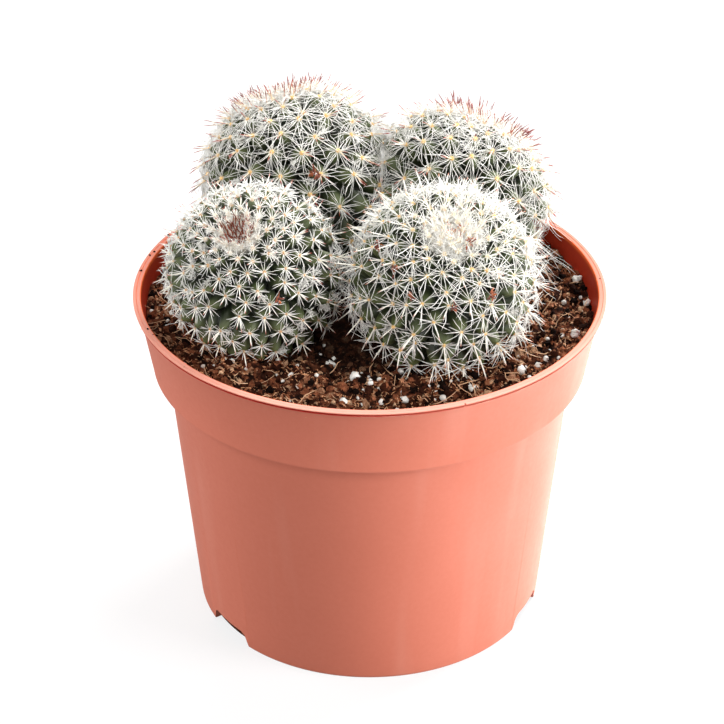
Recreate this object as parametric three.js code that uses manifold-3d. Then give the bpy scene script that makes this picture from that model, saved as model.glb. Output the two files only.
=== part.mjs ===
// A clump of four round white-spined cacti, in soil, in a low plastic nursery pot.
//
// Millimetres, +Z up. The origin is the middle of the pot's base, on the surface that the pot
// stands on, and -Y is the front.
//
// Each head is one closed solid. Its tubercles lie on a golden-angle spiral that starts at the
// crown, and the spines are three-sided needles drawn out of the areole at each tubercle's tip,
// so they are one body with the plant. Below the soil line the head is a smooth stem that
// stands in a hole in the soil.

import * as THREE from 'three';
import { mergeVertices } from 'three/addons/utils/BufferGeometryUtils.js';
import { ConvexHull } from 'three/addons/math/ConvexHull.js';
import { ImprovedNoise } from 'three/addons/math/ImprovedNoise.js';
import Module from 'manifold-3d';

const wasm = await Module();
wasm.setup();

// ---------------------------------------------------------------- driving dimensions

const SEAT_GAP = 0.3; // between a piece and the piece that holds it
const HEAD_GAP = 0.4; // between two heads, where one presses the other in
const OVERSHOOT = 1; // how far a cutting block stands out of what it cuts

const POT = {
  sides: 60,
  height: 97.3,
  rimRadius: 65, // over the lip: a 13 cm pot
  lipWidth: 2.7, // flat top of the lip
  lipDrop: 0.8, // height of the bead round the lip
  collarTopRadius: 63.7, // just under the lip
  collarFootRadius: 60.3,
  collarFootHeight: 76, // underside of the collar
  collarEdge: 0.5, // bevel of the collar's lower edge
  lipEdge: 0.3, // bevels of the lip's edges
  insideStep: 1, // width and height of the slope inside, where the collar begins
  shoulderRadius: 56.3, // top of the tapered body, where it meets the collar's underside
  baseRadius: 49.2,
  baseEdge: 0.8, // rounding where the body meets the ground
  wall: 1,
  floor: 1.2,
};

// The middle of the base is raised, and three notches lead out of it, so three feet are left.
const BASE = {
  recessRadius: 38,
  recessDraft: 0.6,
  rise: 4.6, // height of the raised middle and of the notches
  notchAzimuths: [-54, 66, 186], // from the front, towards the right
  notchWidth: 18.6, // on the ground
  notchFlank: 2.2, // how far each end of a notch leans in
  notchFoot: 0.4, // height of the upright part of each end
  notchBend: 0.4, // where the ends curve most, as a share of the rise
  notchOverlap: 4, // how far a notch's block reaches into the raised middle
  notchReach: 6, // how far it reaches out of the pot
  drainRadius: 3.5,
  drainDepth: 6, // of the block that cuts it
  drainSides: 12,
  drainRing: 27,
  drains: 6,
};

const SOIL = {
  level: 90.9, // mean height of its top
  heap: { x: -50, y: 8, height: 1.6, spread: 22 }, // where it lies higher
  lumps: [ // height, size, and the slice of the noise that shapes them
    { height: 1.8, size: 9, slice: 0.5 },
    { height: 0.9, size: 4, slice: 7.5 },
  ],
  sides: 30,
  rings: [16, 28, 36, 42, 47, 52, 57, 66],
  blockFoot: -5, // lowest height of the block that the top is cut from
  holeSides: 20,
  holeSteps: 6,
  holeMargin: 0.25, // makes up for the flats of a hole's few sides
};

// White perlite grains at the soil's surface.
const PERLITE = {
  grains: 26,
  size: [1.1, 2.2],
  shape: [1, 0.85, 0.8],
  rise: 0.2, // of a grain's middle over the soil, as a share of its size
  inset: 6.5, // kept from the collar's outside
};

// The heads lean out from the middle of the clump. A head's upper half is pressed flat along its
// axis, by its flatness, and its lower half is drawn out, by its stretch, to stand in the soil.
const HEADS = [
  {
    name: 'head_front_left', centre: [-31.3, -14.5, 110.8], crown: [-0.17, -0.49, 0.85],
    radius: 23.2, stretch: 1.36, flatness: 0.94,
  },
  {
    name: 'head_front_right', centre: [20, -18.5, 110.5], crown: [0.18, -0.48, 0.86],
    radius: 25.2, stretch: 1.24, flatness: 0.94,
  },
  {
    name: 'head_back_left', centre: [-21.6, 35.5, 114.8], crown: [-0.28, 0.47, 0.85],
    radius: 25.6, stretch: 1.44, flatness: 0.92,
  },
  {
    name: 'head_back_right', centre: [27.4, 33.5, 112.8], crown: [0.45, 0.47, 0.83],
    radius: 24.8, stretch: 1.42, flatness: 0.75,
  },
];
const FOOT = { depth: 0.6, radius: 0.95 }; // where a stem meets the soil, as shares of its radius

const TUBERCLE = {
  perHead: 118, // on a whole head, if its stem had them too
  depth: 3.2, // from its tip down to the furrow
  areole: 0.55, // radius of the pad that the spines grow from
  areoleDome: 0.2,
  aboveSoil: 4.5, // the lowest tip stands this far over the soil
};

const DIMPLE = { depth: 0.09, spread: 0.3 }; // in a crown, as a share of the radius and in radians

const SPINE = {
  radialLength: [3.9, 4.9],
  radialLift: [0.24, 0.5], // radians above the head's surface
  centralLength: [4.6, 5.8],
  centralLift: [0.75, 1.1],
  swing: 0.25, // radians that a spine may turn to either side, taken together
  clearance: 0.22, // kept between two spines
  overSoil: 1,
  overLip: 2,
  fromWall: 4.5, // from the collar's outside
  fromOwnHead: 0.35,
  fromOtherHead: 1,
  checkedAt: [0.35, 0.7, 1], // shares of a spine's length where it is tested
  tries: 14,
  retry: { swing: 0.03, lift: 0.03, shrink: 0.02 }, // what each new try adds
};

const FINISH = {
  pot: { color: 0xcd7157, roughness: 0.45 },
  soil: { color: 0x3a2418, roughness: 0.95 },
  plant: { color: 0x8d9a80, roughness: 0.7 },
};
const SEEDS = { perlite: 41, heads: 11 };
const FULL_TURN = Math.PI * 2;
const GOLDEN_ANGLE = Math.PI * (3 - Math.sqrt(5));

// ---------------------------------------------------------------- helpers

/** A seeded random number generator (mulberry32): each call gives the next number from 0 to 1. */
function randomFrom(seed) {
  let state = seed;
  return () => {
    state = (state + 0x6d2b79f5) | 0;
    let t = Math.imul(state ^ (state >>> 15), 1 | state);
    t = (t + Math.imul(t ^ (t >>> 7), 61 | t)) ^ t;
    return ((t ^ (t >>> 14)) >>> 0) / 4294967296;
  };
}

const between = (random, [low, high]) => low + (high - low) * random();

/** The closed solid of a geometry, with its doubled vertices merged. */
function solidOf(geometry) {
  const bare = geometry.clone();
  bare.deleteAttribute('normal');
  bare.deleteAttribute('uv');
  const merged = mergeVertices(bare, 1e-4);
  const corners = merged.index.array;
  const kept = [];
  for (let i = 0; i < corners.length; i += 3) {
    const [a, b, c] = [corners[i], corners[i + 1], corners[i + 2]];
    if (a !== b && b !== c && c !== a) kept.push(a, b, c);
  }
  return new wasm.Manifold(new wasm.Mesh({
    numProp: 3,
    vertProperties: new Float32Array(merged.getAttribute('position').array),
    triVerts: new Uint32Array(kept),
  }));
}

/** The geometry of a solid. */
function geometryOf(solid) {
  const mesh = solid.getMesh();
  const geometry = new THREE.BufferGeometry();
  geometry.setAttribute('position', new THREE.BufferAttribute(mesh.vertProperties, 3));
  geometry.setIndex(new THREE.BufferAttribute(mesh.triVerts, 1));
  geometry.computeVertexNormals();
  return geometry;
}

/** A solid of revolution about Z, from a path of radius and height that starts and ends on Z. */
function turned(path, sides = POT.sides) {
  const geometry = new THREE.LatheGeometry(path.getPoints(), sides);
  return solidOf(geometry.rotateX(Math.PI / 2));
}

/** A frustum standing on a height, with its lower and upper radius. */
function frustum(lower, upper, base, height, sides = POT.sides) {
  const geometry = new THREE.CylinderGeometry(upper, lower, height, sides);
  return solidOf(geometry.rotateX(Math.PI / 2).translate(0, 0, base + height / 2));
}

/** A solid without the loose scraps that a cut leaves. */
function withoutScraps(solid) {
  return solid.decompose().reduce((kept, part) => (part.volume() > kept.volume() ? part : kept));
}

const radians = THREE.MathUtils.degToRad;

// ---------------------------------------------------------------- pot

/** Everything inside the pot's outer skin, as if it were full. */
function potEnvelope() {
  const p = POT;
  const path = new THREE.Path();
  path.moveTo(0, 0);
  path.lineTo(p.baseRadius - p.baseEdge, 0);
  path.lineTo(p.baseRadius, p.baseEdge);
  path.lineTo(p.shoulderRadius, p.collarFootHeight);
  path.lineTo(p.collarFootRadius - p.collarEdge, p.collarFootHeight);
  path.lineTo(p.collarFootRadius, p.collarFootHeight + p.collarEdge);
  path.lineTo(p.collarTopRadius, p.height - p.lipDrop - p.lipEdge);
  path.lineTo(p.rimRadius, p.height - p.lipDrop);
  path.lineTo(p.rimRadius, p.height - p.lipEdge);
  path.lineTo(p.rimRadius - p.lipEdge, p.height);
  path.lineTo(0, p.height);
  return turned(path);
}

/** The space inside the walls, over the flat floor, drawn in by a clearance. */
function potCavity(clearance, sides) {
  const p = POT;
  const inset = p.wall + clearance;
  const ledge = p.collarFootHeight + p.wall;
  const mouth = p.rimRadius - p.lipWidth - clearance;
  const path = new THREE.Path();
  path.moveTo(0, p.floor + clearance);
  path.lineTo(p.baseRadius - inset, p.floor + clearance);
  path.lineTo(p.shoulderRadius - inset, p.collarFootHeight + p.wall / 2);
  path.lineTo(p.collarFootRadius - inset - p.insideStep, ledge + clearance);
  path.lineTo(p.collarFootRadius - inset, ledge + p.insideStep);
  path.lineTo(mouth, p.height);
  path.lineTo(mouth, p.height + OVERSHOOT);
  path.lineTo(0, p.height + OVERSHOOT);
  return turned(path, sides);
}

/** The raised middle of the base and its three notches, grown by a margin. */
function baseRecess(margin) {
  const b = BASE;
  const [radius, top] = [b.recessRadius + margin, b.rise + margin];
  const height = top + OVERSHOOT;
  let recess = frustum(radius + b.recessDraft, radius - b.recessDraft, -OVERSHOOT, height);
  const half = b.notchWidth / 2 + margin;
  const [upper, bend] = [half - b.notchFlank, b.rise * b.notchBend];
  const outline = new THREE.Shape();
  outline.moveTo(-half, -OVERSHOOT);
  outline.lineTo(half, -OVERSHOOT);
  outline.lineTo(half, b.notchFoot);
  outline.quadraticCurveTo(upper, bend, upper, top);
  outline.lineTo(-upper, top);
  outline.quadraticCurveTo(-upper, bend, -half, b.notchFoot);
  outline.closePath();
  const from = b.recessRadius - b.notchOverlap;
  const depth = POT.baseRadius + b.notchReach - from;
  for (const azimuth of b.notchAzimuths) {
    const notch = new THREE.ExtrudeGeometry(outline, {
      depth, steps: 1, bevelEnabled: false, curveSegments: 3,
    });
    notch.translate(0, 0, from).rotateX(Math.PI / 2).rotateZ(radians(azimuth));
    recess = recess.add(solidOf(notch));
  }
  return recess;
}

/** The space that the soil fills: the cavity, less the floor where it is raised. */
function filling(clearance, sides = POT.sides) {
  return potCavity(clearance, sides).subtract(baseRecess(POT.floor + clearance));
}

/** One drain hole through the raised floor. */
function drain(x, y) {
  const { drainRadius, drainDepth, drainSides } = BASE;
  const geometry = new THREE.CylinderGeometry(drainRadius, drainRadius, drainDepth, drainSides);
  return solidOf(geometry.rotateX(Math.PI / 2).translate(x, y, BASE.rise));
}

function potGeometry() {
  let pot = potEnvelope().subtract(baseRecess(0)).subtract(filling(0)).subtract(drain(0, 0));
  for (let i = 0; i < BASE.drains; i += 1) {
    const angle = (i / BASE.drains) * FULL_TURN;
    pot = pot.subtract(drain(BASE.drainRing * Math.sin(angle), -BASE.drainRing * Math.cos(angle)));
  }
  return geometryOf(pot);
}

// ---------------------------------------------------------------- the form of a head

/** A head's form: how far its surface lies from its centre, in each direction. */
class HeadForm {
  constructor({ centre, crown, radius, stretch, flatness }) {
    this.centre = new THREE.Vector3(...centre);
    this.crown = new THREE.Vector3(...crown).normalize();
    this.radius = radius;
    this.stretch = stretch;
    this.flatness = flatness;
    this.turn = new THREE.Quaternion().setFromUnitVectors(new THREE.Vector3(0, 0, 1), this.crown);
    this.neighbours = [];
  }

  /** The distance from the centre to the tubercles' tips, at an angle from the crown. */
  reach(angle) {
    const stretch = angle < Math.PI / 2 ? this.flatness : this.stretch;
    const across = Math.sin(angle) / this.radius;
    const along = Math.cos(angle) / (this.radius * stretch);
    const dimple = DIMPLE.depth * Math.exp(-((angle / DIMPLE.spread) ** 2));
    return (1 - dimple) / Math.hypot(across, along);
  }

  /** How far inside this head's tips a place lies; negative outside them. */
  depthOf(place) {
    const out = place.clone().sub(this.centre);
    return this.reach(out.angleTo(this.crown)) - out.length();
  }

  /** The point in a direction from the centre, a distance inside the tips. */
  point(direction, below = 0) {
    const distance = this.reach(direction.angleTo(this.crown));
    const point = this.centre.clone().addScaledVector(direction, distance);
    for (const neighbour of this.neighbours) {
      const press = neighbour.depthOf(point) + HEAD_GAP;
      if (press > 0) point.addScaledVector(direction, -press);
    }
    return point.addScaledVector(direction, -below);
  }

  /** Direction number i of the golden-angle spiral. */
  spiral(i) {
    const cosine = 1 - (2 * (i + 0.5)) / TUBERCLE.perHead;
    const sine = Math.sqrt(1 - cosine * cosine);
    const turn = i * GOLDEN_ANGLE;
    const upright = new THREE.Vector3(sine * Math.cos(turn), sine * Math.sin(turn), cosine);
    return upright.applyQuaternion(this.turn);
  }

  /** The head's smooth lower half, grown by a clearance, as the hole that it stands in. */
  hole(clearance) {
    const steps = SOIL.holeSteps;
    const points = [];
    for (let i = 0; i <= steps; i += 1) {
      const angle = Math.PI * (1 - i / steps / 2);
      const distance = this.reach(angle) - TUBERCLE.depth + clearance;
      points.push(new THREE.Vector2(Math.abs(Math.sin(angle)) * distance, Math.cos(angle) * distance));
    }
    points[0].x = 0;
    points.push(new THREE.Vector2(0, 0));
    const geometry = new THREE.LatheGeometry(points, SOIL.holeSides).rotateX(Math.PI / 2);
    geometry.applyQuaternion(this.turn).translate(...this.centre.toArray());
    return solidOf(geometry);
  }
}

// ---------------------------------------------------------------- soil

const noise = new ImprovedNoise();

/** The height of the soil's top at a place. */
function soilHeight(x, y) {
  const { heap, level, lumps } = SOIL;
  const heaped = heap.height * Math.exp(-((Math.hypot(x - heap.x, y - heap.y) / heap.spread) ** 2));
  return lumps.reduce(
    (height, lump) => height + lump.height * noise.noise(x / lump.size, y / lump.size, lump.slice),
    level + heaped,
  );
}

/** A block of ground with the soil's lumpy top, wider than the pot. */
function ground() {
  const { rings, sides, blockFoot } = SOIL;
  const positions = [];
  const index = [];
  positions.push(0, 0, soilHeight(0, 0));
  for (const radius of rings) {
    for (let s = 0; s < sides; s += 1) {
      const angle = (s / sides) * FULL_TURN;
      const [x, y] = [radius * Math.cos(angle), radius * Math.sin(angle)];
      positions.push(x, y, soilHeight(x, y));
    }
  }
  const outer = rings[rings.length - 1];
  for (let s = 0; s < sides; s += 1) {
    const angle = (s / sides) * FULL_TURN;
    positions.push(outer * Math.cos(angle), outer * Math.sin(angle), blockFoot);
  }
  const bottom = positions.length / 3;
  positions.push(0, 0, blockFoot);
  const at = (ring, s) => 1 + ring * sides + (s % sides);
  for (let s = 0; s < sides; s += 1) {
    index.push(0, at(0, s), at(0, s + 1));
    for (let ring = 0; ring < rings.length; ring += 1) {
      index.push(at(ring, s), at(ring + 1, s), at(ring + 1, s + 1));
      index.push(at(ring, s), at(ring + 1, s + 1), at(ring, s + 1));
    }
    index.push(at(rings.length, s), bottom, at(rings.length, s + 1));
  }
  const geometry = new THREE.BufferGeometry();
  geometry.setAttribute('position', new THREE.Float32BufferAttribute(positions, 3));
  geometry.setIndex(index);
  return solidOf(geometry);
}

/** Whether a place on the soil is clear of every head's stem. */
function openSoil(x, y, forms) {
  return forms.every((form) => {
    const foot = form.centre.clone().addScaledVector(form.crown, -form.radius * FOOT.depth);
    return Math.hypot(x - foot.x, y - foot.y) > form.radius * FOOT.radius;
  });
}

/** The perlite grains, half sunk in the soil's top. */
function perlite(forms) {
  const random = randomFrom(SEEDS.perlite);
  const grains = [];
  while (grains.length < PERLITE.grains) {
    const angle = random() * FULL_TURN;
    const distance = (POT.collarTopRadius - PERLITE.inset) * Math.sqrt(random());
    const [x, y] = [distance * Math.cos(angle), distance * Math.sin(angle)];
    const size = between(random, PERLITE.size);
    if (!openSoil(x, y, forms)) continue;
    const grain = new THREE.IcosahedronGeometry(size, 0);
    grain.rotateX(random() * FULL_TURN).rotateZ(random() * FULL_TURN).scale(...PERLITE.shape);
    grains.push(solidOf(grain.translate(x, y, soilHeight(x, y) + size * PERLITE.rise)));
  }
  return grains;
}

function soilGeometry(forms) {
  let soil = filling(SEAT_GAP, SOIL.sides).intersect(ground());
  for (const grain of perlite(forms)) soil = soil.add(grain);
  for (const form of forms) soil = soil.subtract(form.hole(SEAT_GAP + SOIL.holeMargin));
  return geometryOf(withoutScraps(soil));
}

// ---------------------------------------------------------------- spines

/** The spines that stand so far, and the test that a new one keeps clear of them. */
class SpineRegister {
  constructor(forms) {
    this.forms = forms;
    this.placed = [];
  }

  /** The shortest distance between two straight spines. */
  static distance(first, second) {
    const d1 = first.tip.clone().sub(first.root);
    const d2 = second.tip.clone().sub(second.root);
    const r = first.root.clone().sub(second.root);
    const [a, e, f] = [d1.dot(d1), d2.dot(d2), d2.dot(r)];
    const [c, b] = [d1.dot(r), d1.dot(d2)];
    const span = a * e - b * b;
    const clamp = THREE.MathUtils.clamp;
    let s = span > 1e-9 ? clamp((b * f - c * e) / span, 0, 1) : 0;
    let t = (b * s + f) / e;
    if (t < 0 || t > 1) {
      t = clamp(t, 0, 1);
      s = clamp((b * t - c) / a, 0, 1);
    }
    const onFirst = first.root.clone().addScaledVector(d1, s);
    const onSecond = second.root.clone().addScaledVector(d2, t);
    return onFirst.distanceTo(onSecond) - (first.width * (1 - s) + second.width * (1 - t)) / 2;
  }

  /**
   * Whether a spine is clear of the plant, the soil, the pot and the spines of other areoles.
   * None reaches further back than the rim, so that the rim gives the part its depth.
   */
  isClear(spine) {
    if (spine.tip.y > POT.rimRadius) return false;
    for (const share of SPINE.checkedAt) {
      const point = spine.root.clone().lerp(spine.tip, share);
      const isLow = point.z < POT.height + SPINE.overLip;
      const isWide = Math.hypot(point.x, point.y) > POT.collarTopRadius - SPINE.fromWall;
      if (point.z < soilHeight(point.x, point.y) + SPINE.overSoil || (isLow && isWide)) return false;
      for (const form of this.forms) {
        const margin = form === spine.form ? SPINE.fromOwnHead * share : SPINE.fromOtherHead;
        if (form.depthOf(point) > -margin) return false;
      }
    }
    const reachOf = (other) => (other.length + spine.length) / 2 + SPINE.clearance + TUBERCLE.areole;
    return this.placed.every((other) => other.areole === spine.areole
      || other.middle.distanceTo(spine.middle) > reachOf(other)
      || SpineRegister.distance(other, spine) > SPINE.clearance);
  }

  add(spine) {
    this.placed.push(spine);
  }
}

/** The first clear spine out of one face of an areole, or null where there is none. */
function growSpine(register, form, areole, corners, isCentral, random) {
  const root = corners[0].clone().add(corners[1]).add(corners[2]).divideScalar(3);
  const outward = areole.clone().sub(form.centre).normalize();
  const sideways = root.clone().sub(areole).projectOnPlane(outward).normalize();
  const lift = isCentral ? SPINE.centralLift : SPINE.radialLift;
  const lengths = isCentral ? SPINE.centralLength : SPINE.radialLength;
  for (let attempt = 0; attempt < SPINE.tries; attempt += 1) {
    const swing = (random() - 0.5) * (SPINE.swing + attempt * SPINE.retry.swing);
    const rise = between(random, lift) + attempt * SPINE.retry.lift;
    const away = sideways.clone().applyAxisAngle(outward, swing);
    const direction = away.multiplyScalar(Math.cos(rise)).addScaledVector(outward, Math.sin(rise));
    const length = between(random, lengths) * (1 - attempt * SPINE.retry.shrink);
    const tip = root.clone().addScaledVector(direction, length);
    const spine = { form, areole, root, tip, length, width: TUBERCLE.areole };
    spine.middle = root.clone().lerp(tip, 0.5);
    if (register.isClear(spine)) {
      register.add(spine);
      return tip;
    }
  }
  return null;
}

// ---------------------------------------------------------------- heads

/** One head: tubercles by Delaunay triangles between their tips, and spines out of each tip. */
function headGeometry(form, register, seed) {
  const random = randomFrom(seed);
  const positions = [];
  const index = [];
  const put = (point) => positions.push(point.x, point.y, point.z) / 3 - 1;
  const face = (a, b, c) => index.push(a, b, c);

  const directions = Array.from({ length: TUBERCLE.perHead }, (unused, i) => form.spiral(i));
  const tips = directions.map((direction) => form.point(direction));
  const isTubercle = tips.map((tip) => tip.z > SOIL.level + TUBERCLE.aboveSoil);
  const summitDepth = (i) => (isTubercle[i] ? 0 : TUBERCLE.depth);
  const summits = directions.map((direction, i) => put(form.point(direction, summitDepth(i))));

  // The convex hull of the directions joins each tip to its neighbours.
  const numberOf = new Map(directions.map((direction, i) => [direction, i]));
  const cells = new ConvexHull().setFromPoints(directions).faces.map((hullFace) => {
    const corners = [];
    let edge = hullFace.edge;
    do {
      corners.push(numberOf.get(edge.head().point));
      edge = edge.next;
    } while (edge !== hullFace.edge);
    const middle = new THREE.Vector3();
    corners.forEach((corner) => middle.add(directions[corner]));
    if (!corners.some((corner) => isTubercle[corner])) return { corners, valley: null };
    return { corners, valley: put(form.point(middle.normalize(), TUBERCLE.depth)) };
  });
  const cellAt = new Map();
  for (const cell of cells) {
    cell.corners.forEach((corner, k) => cellAt.set(`${corner}>${cell.corners[(k + 1) % 3]}`, cell));
  }

  // The rim of an areole has a corner towards each neighbour.
  const rims = new Map();
  function rim(from, to) {
    if (!isTubercle[from]) return summits[from];
    const key = `${from}>${to}`;
    if (!rims.has(key)) {
      const outward = directions[from];
      const towards = tips[to].clone().sub(tips[from]).projectOnPlane(outward);
      const corner = tips[from].clone().add(towards.setLength(TUBERCLE.areole));
      rims.set(key, put(corner.addScaledVector(outward, -TUBERCLE.areoleDome)));
    }
    return rims.get(key);
  }
  const pointAt = (i) => new THREE.Vector3().fromArray(positions, i * 3);

  const spinesOf = directions.map(() => 0);
  for (const cell of cells) {
    if (cell.valley === null) {
      face(...cell.corners.map((corner) => summits[corner]));
      continue;
    }
    cell.corners.forEach((corner, k) => {
      const next = cell.corners[(k + 1) % 3];
      const last = cell.corners[(k + 2) % 3];
      const across = cellAt.get(`${next}>${corner}`);
      face(rim(corner, next), across.valley ?? rim(next, corner), cell.valley);
      if (!isTubercle[corner]) return;
      face(rim(corner, next), cell.valley, rim(corner, last));
      const pad = [summits[corner], rim(corner, next), rim(corner, last)];
      const isCentral = spinesOf[corner] === 0;
      const tip = growSpine(register, form, tips[corner], pad.map(pointAt), isCentral, random);
      if (tip === null) {
        face(...pad);
        return;
      }
      spinesOf[corner] += 1;
      const apex = put(tip);
      pad.forEach((from, n) => face(from, pad[(n + 1) % 3], apex));
    });
  }
  const geometry = new THREE.BufferGeometry();
  geometry.setAttribute('position', new THREE.Float32BufferAttribute(positions, 3));
  geometry.setIndex(index);
  geometry.computeVertexNormals();
  return geometry;
}

// ---------------------------------------------------------------- the potted cactus

function piece(name, geometry, finish) {
  const material = new THREE.MeshStandardMaterial({ ...finish, metalness: 0, flatShading: true });
  const mesh = new THREE.Mesh(geometry, material);
  mesh.name = name;
  return mesh;
}

const forms = HEADS.map((head) => new HeadForm(head));
forms.forEach((form) => { form.neighbours = forms.filter((other) => other !== form); });
const register = new SpineRegister(forms);

const cactus = new THREE.Group();
cactus.add(piece('pot', potGeometry(), FINISH.pot));
cactus.add(piece('soil', soilGeometry(forms), FINISH.soil));
HEADS.forEach((head, i) => {
  cactus.add(piece(head.name, headGeometry(forms[i], register, SEEDS.heads + i), FINISH.plant));
});

export default cactus;
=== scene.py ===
"""A clump of four round, white-spined cacti standing in soil in a low plastic nursery pot.

Metres, +Z up. The origin is the middle of the pot's base, on the surface that it stands on, and
-Y is the front. Sizes are written in millimetres and turned into metres by MM.
"""

import logging
import math
from dataclasses import dataclass, field, replace
from enum import Enum

import bpy
import numpy as np
from mathutils import Matrix, Vector, noise
from mathutils.kdtree import KDTree


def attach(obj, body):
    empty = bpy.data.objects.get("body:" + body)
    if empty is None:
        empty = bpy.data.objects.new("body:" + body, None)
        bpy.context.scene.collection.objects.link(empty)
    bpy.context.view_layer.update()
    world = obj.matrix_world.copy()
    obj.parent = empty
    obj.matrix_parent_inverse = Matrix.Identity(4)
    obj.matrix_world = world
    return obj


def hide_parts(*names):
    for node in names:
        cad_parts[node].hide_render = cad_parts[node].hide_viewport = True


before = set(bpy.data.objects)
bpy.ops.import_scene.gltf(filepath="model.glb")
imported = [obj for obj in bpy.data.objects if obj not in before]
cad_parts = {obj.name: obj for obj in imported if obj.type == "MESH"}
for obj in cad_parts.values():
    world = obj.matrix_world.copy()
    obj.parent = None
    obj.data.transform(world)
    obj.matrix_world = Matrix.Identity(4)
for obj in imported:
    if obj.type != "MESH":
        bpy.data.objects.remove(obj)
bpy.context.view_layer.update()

MM = 0.001
GOLDEN_ANGLE = math.pi * (3 - math.sqrt(5))
BODY = "root"
log = logging.getLogger("potted_cactus")

Colour = tuple[float, float, float]
Span = tuple[float, float]
Ring = tuple[float, float]
Array = np.ndarray
Draw = np.random.Generator
Piece = bpy.types.Object
Node = bpy.types.Node
Socket = bpy.types.NodeSocket
WHITE: Colour = (1, 1, 1)


# ------------------------------------------------------------------ modelling helpers


def clear_selection() -> None:
    """Leaves object mode on and nothing selected."""
    active = bpy.context.view_layer.objects.active
    if active is not None and active.mode != "OBJECT":
        bpy.ops.object.mode_set(mode="OBJECT")
    bpy.ops.object.select_all(action="DESELECT")


def start_editing() -> Piece:
    """Opens the newly added primitive in edit mode with all of it selected.

    Returns:
        The primitive's object.
    """
    piece = bpy.context.object
    bpy.ops.object.mode_set(mode="EDIT")
    bpy.ops.mesh.select_all(action="SELECT")
    return piece


def start_turning(sides: int, rings: list[Ring]) -> Piece:
    """Extrudes a disc about Z through a row of rings, as a lathe would turn them.

    Args:
        sides: how many sides each ring has.
        rings: radius and height of each ring, in the order of extruding.

    Returns:
        The turned piece, in edit mode with its last ring selected.
    """
    clear_selection()
    radius, height = rings[0]
    bpy.ops.mesh.primitive_circle_add(
        vertices=sides, radius=radius, fill_type="NGON", location=(0, 0, height)
    )
    piece = start_editing()
    for next_radius, next_height in rings[1:]:
        extrude_up(next_height - height)
        scale = next_radius / radius
        bpy.ops.transform.resize(value=(scale, scale, 1), center_override=(0, 0, 0))
        radius, height = next_radius, next_height
    return piece


def extrude_up(rise: float) -> None:
    """Extrudes the selected faces along Z."""
    bpy.ops.mesh.extrude_region_move(TRANSFORM_OT_translate={"value": (0, 0, rise)})


def stop_editing() -> None:
    """Turns all normals outwards and goes back to object mode."""
    bpy.ops.mesh.select_all(action="SELECT")
    bpy.ops.mesh.normals_make_consistent(inside=False)
    bpy.ops.object.mode_set(mode="OBJECT")


def cut_cube(size: float, cuts: int, roundness: float) -> Piece:
    """Models a cube that is cut up and partly rounded.

    Args:
        size: the cube's width.
        cuts: how many cuts each edge gets.
        roundness: 0 for a cube and 1 for a ball.

    Returns:
        The shape, about its own middle.
    """
    clear_selection()
    bpy.ops.mesh.primitive_cube_add(size=size)
    piece = start_editing()
    bpy.ops.mesh.subdivide(number_cuts=cuts)
    bpy.ops.transform.tosphere(value=roundness)
    stop_editing()
    return piece


def cut_or_join(piece: Piece, other: Piece, operation: str) -> None:
    """Applies one solid to another and removes it.

    Args:
        piece: the solid that stays.
        other: the solid that cuts it or joins it.
        operation: DIFFERENCE, UNION or INTERSECT.
    """
    clear_selection()
    modifier = piece.modifiers.new("cut", "BOOLEAN")
    modifier.operation = operation
    modifier.object = other
    modifier.solver = "EXACT"
    bpy.context.view_layer.objects.active = piece
    bpy.ops.object.modifier_apply(modifier=modifier.name)
    bpy.data.objects.remove(other)


def points_of(piece: Piece) -> Array:
    """The piece's vertices as rows of x, y and z."""
    points = np.empty(len(piece.data.vertices) * 3)
    piece.data.vertices.foreach_get("co", points)
    return points.reshape(-1, 3)


def set_points(piece: Piece, points: Array) -> None:
    """Moves the piece's vertices to new places."""
    piece.data.vertices.foreach_set("co", points.astype(np.float32).ravel())
    piece.data.update()


def unit(vectors: Array) -> Array:
    """The vectors at length one."""
    return vectors / np.linalg.norm(vectors, axis=-1, keepdims=True)


def smooth_step(values: Array, low: float, high: float) -> Array:
    """A smooth rise from 0 at low to 1 at high."""
    share = np.clip((values - low) / (high - low), 0, 1)
    return share * share * (3 - 2 * share)


def dress(piece: Piece, finish: "Finish", node: str) -> None:
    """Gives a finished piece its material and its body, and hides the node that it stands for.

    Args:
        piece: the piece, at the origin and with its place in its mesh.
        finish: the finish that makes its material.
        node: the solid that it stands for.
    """
    piece.data.materials.clear()
    piece.data.materials.append(finish.material())
    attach(piece, BODY)
    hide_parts(node)
    log.info("%s: %d faces", piece.name, len(piece.data.polygons))


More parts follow.
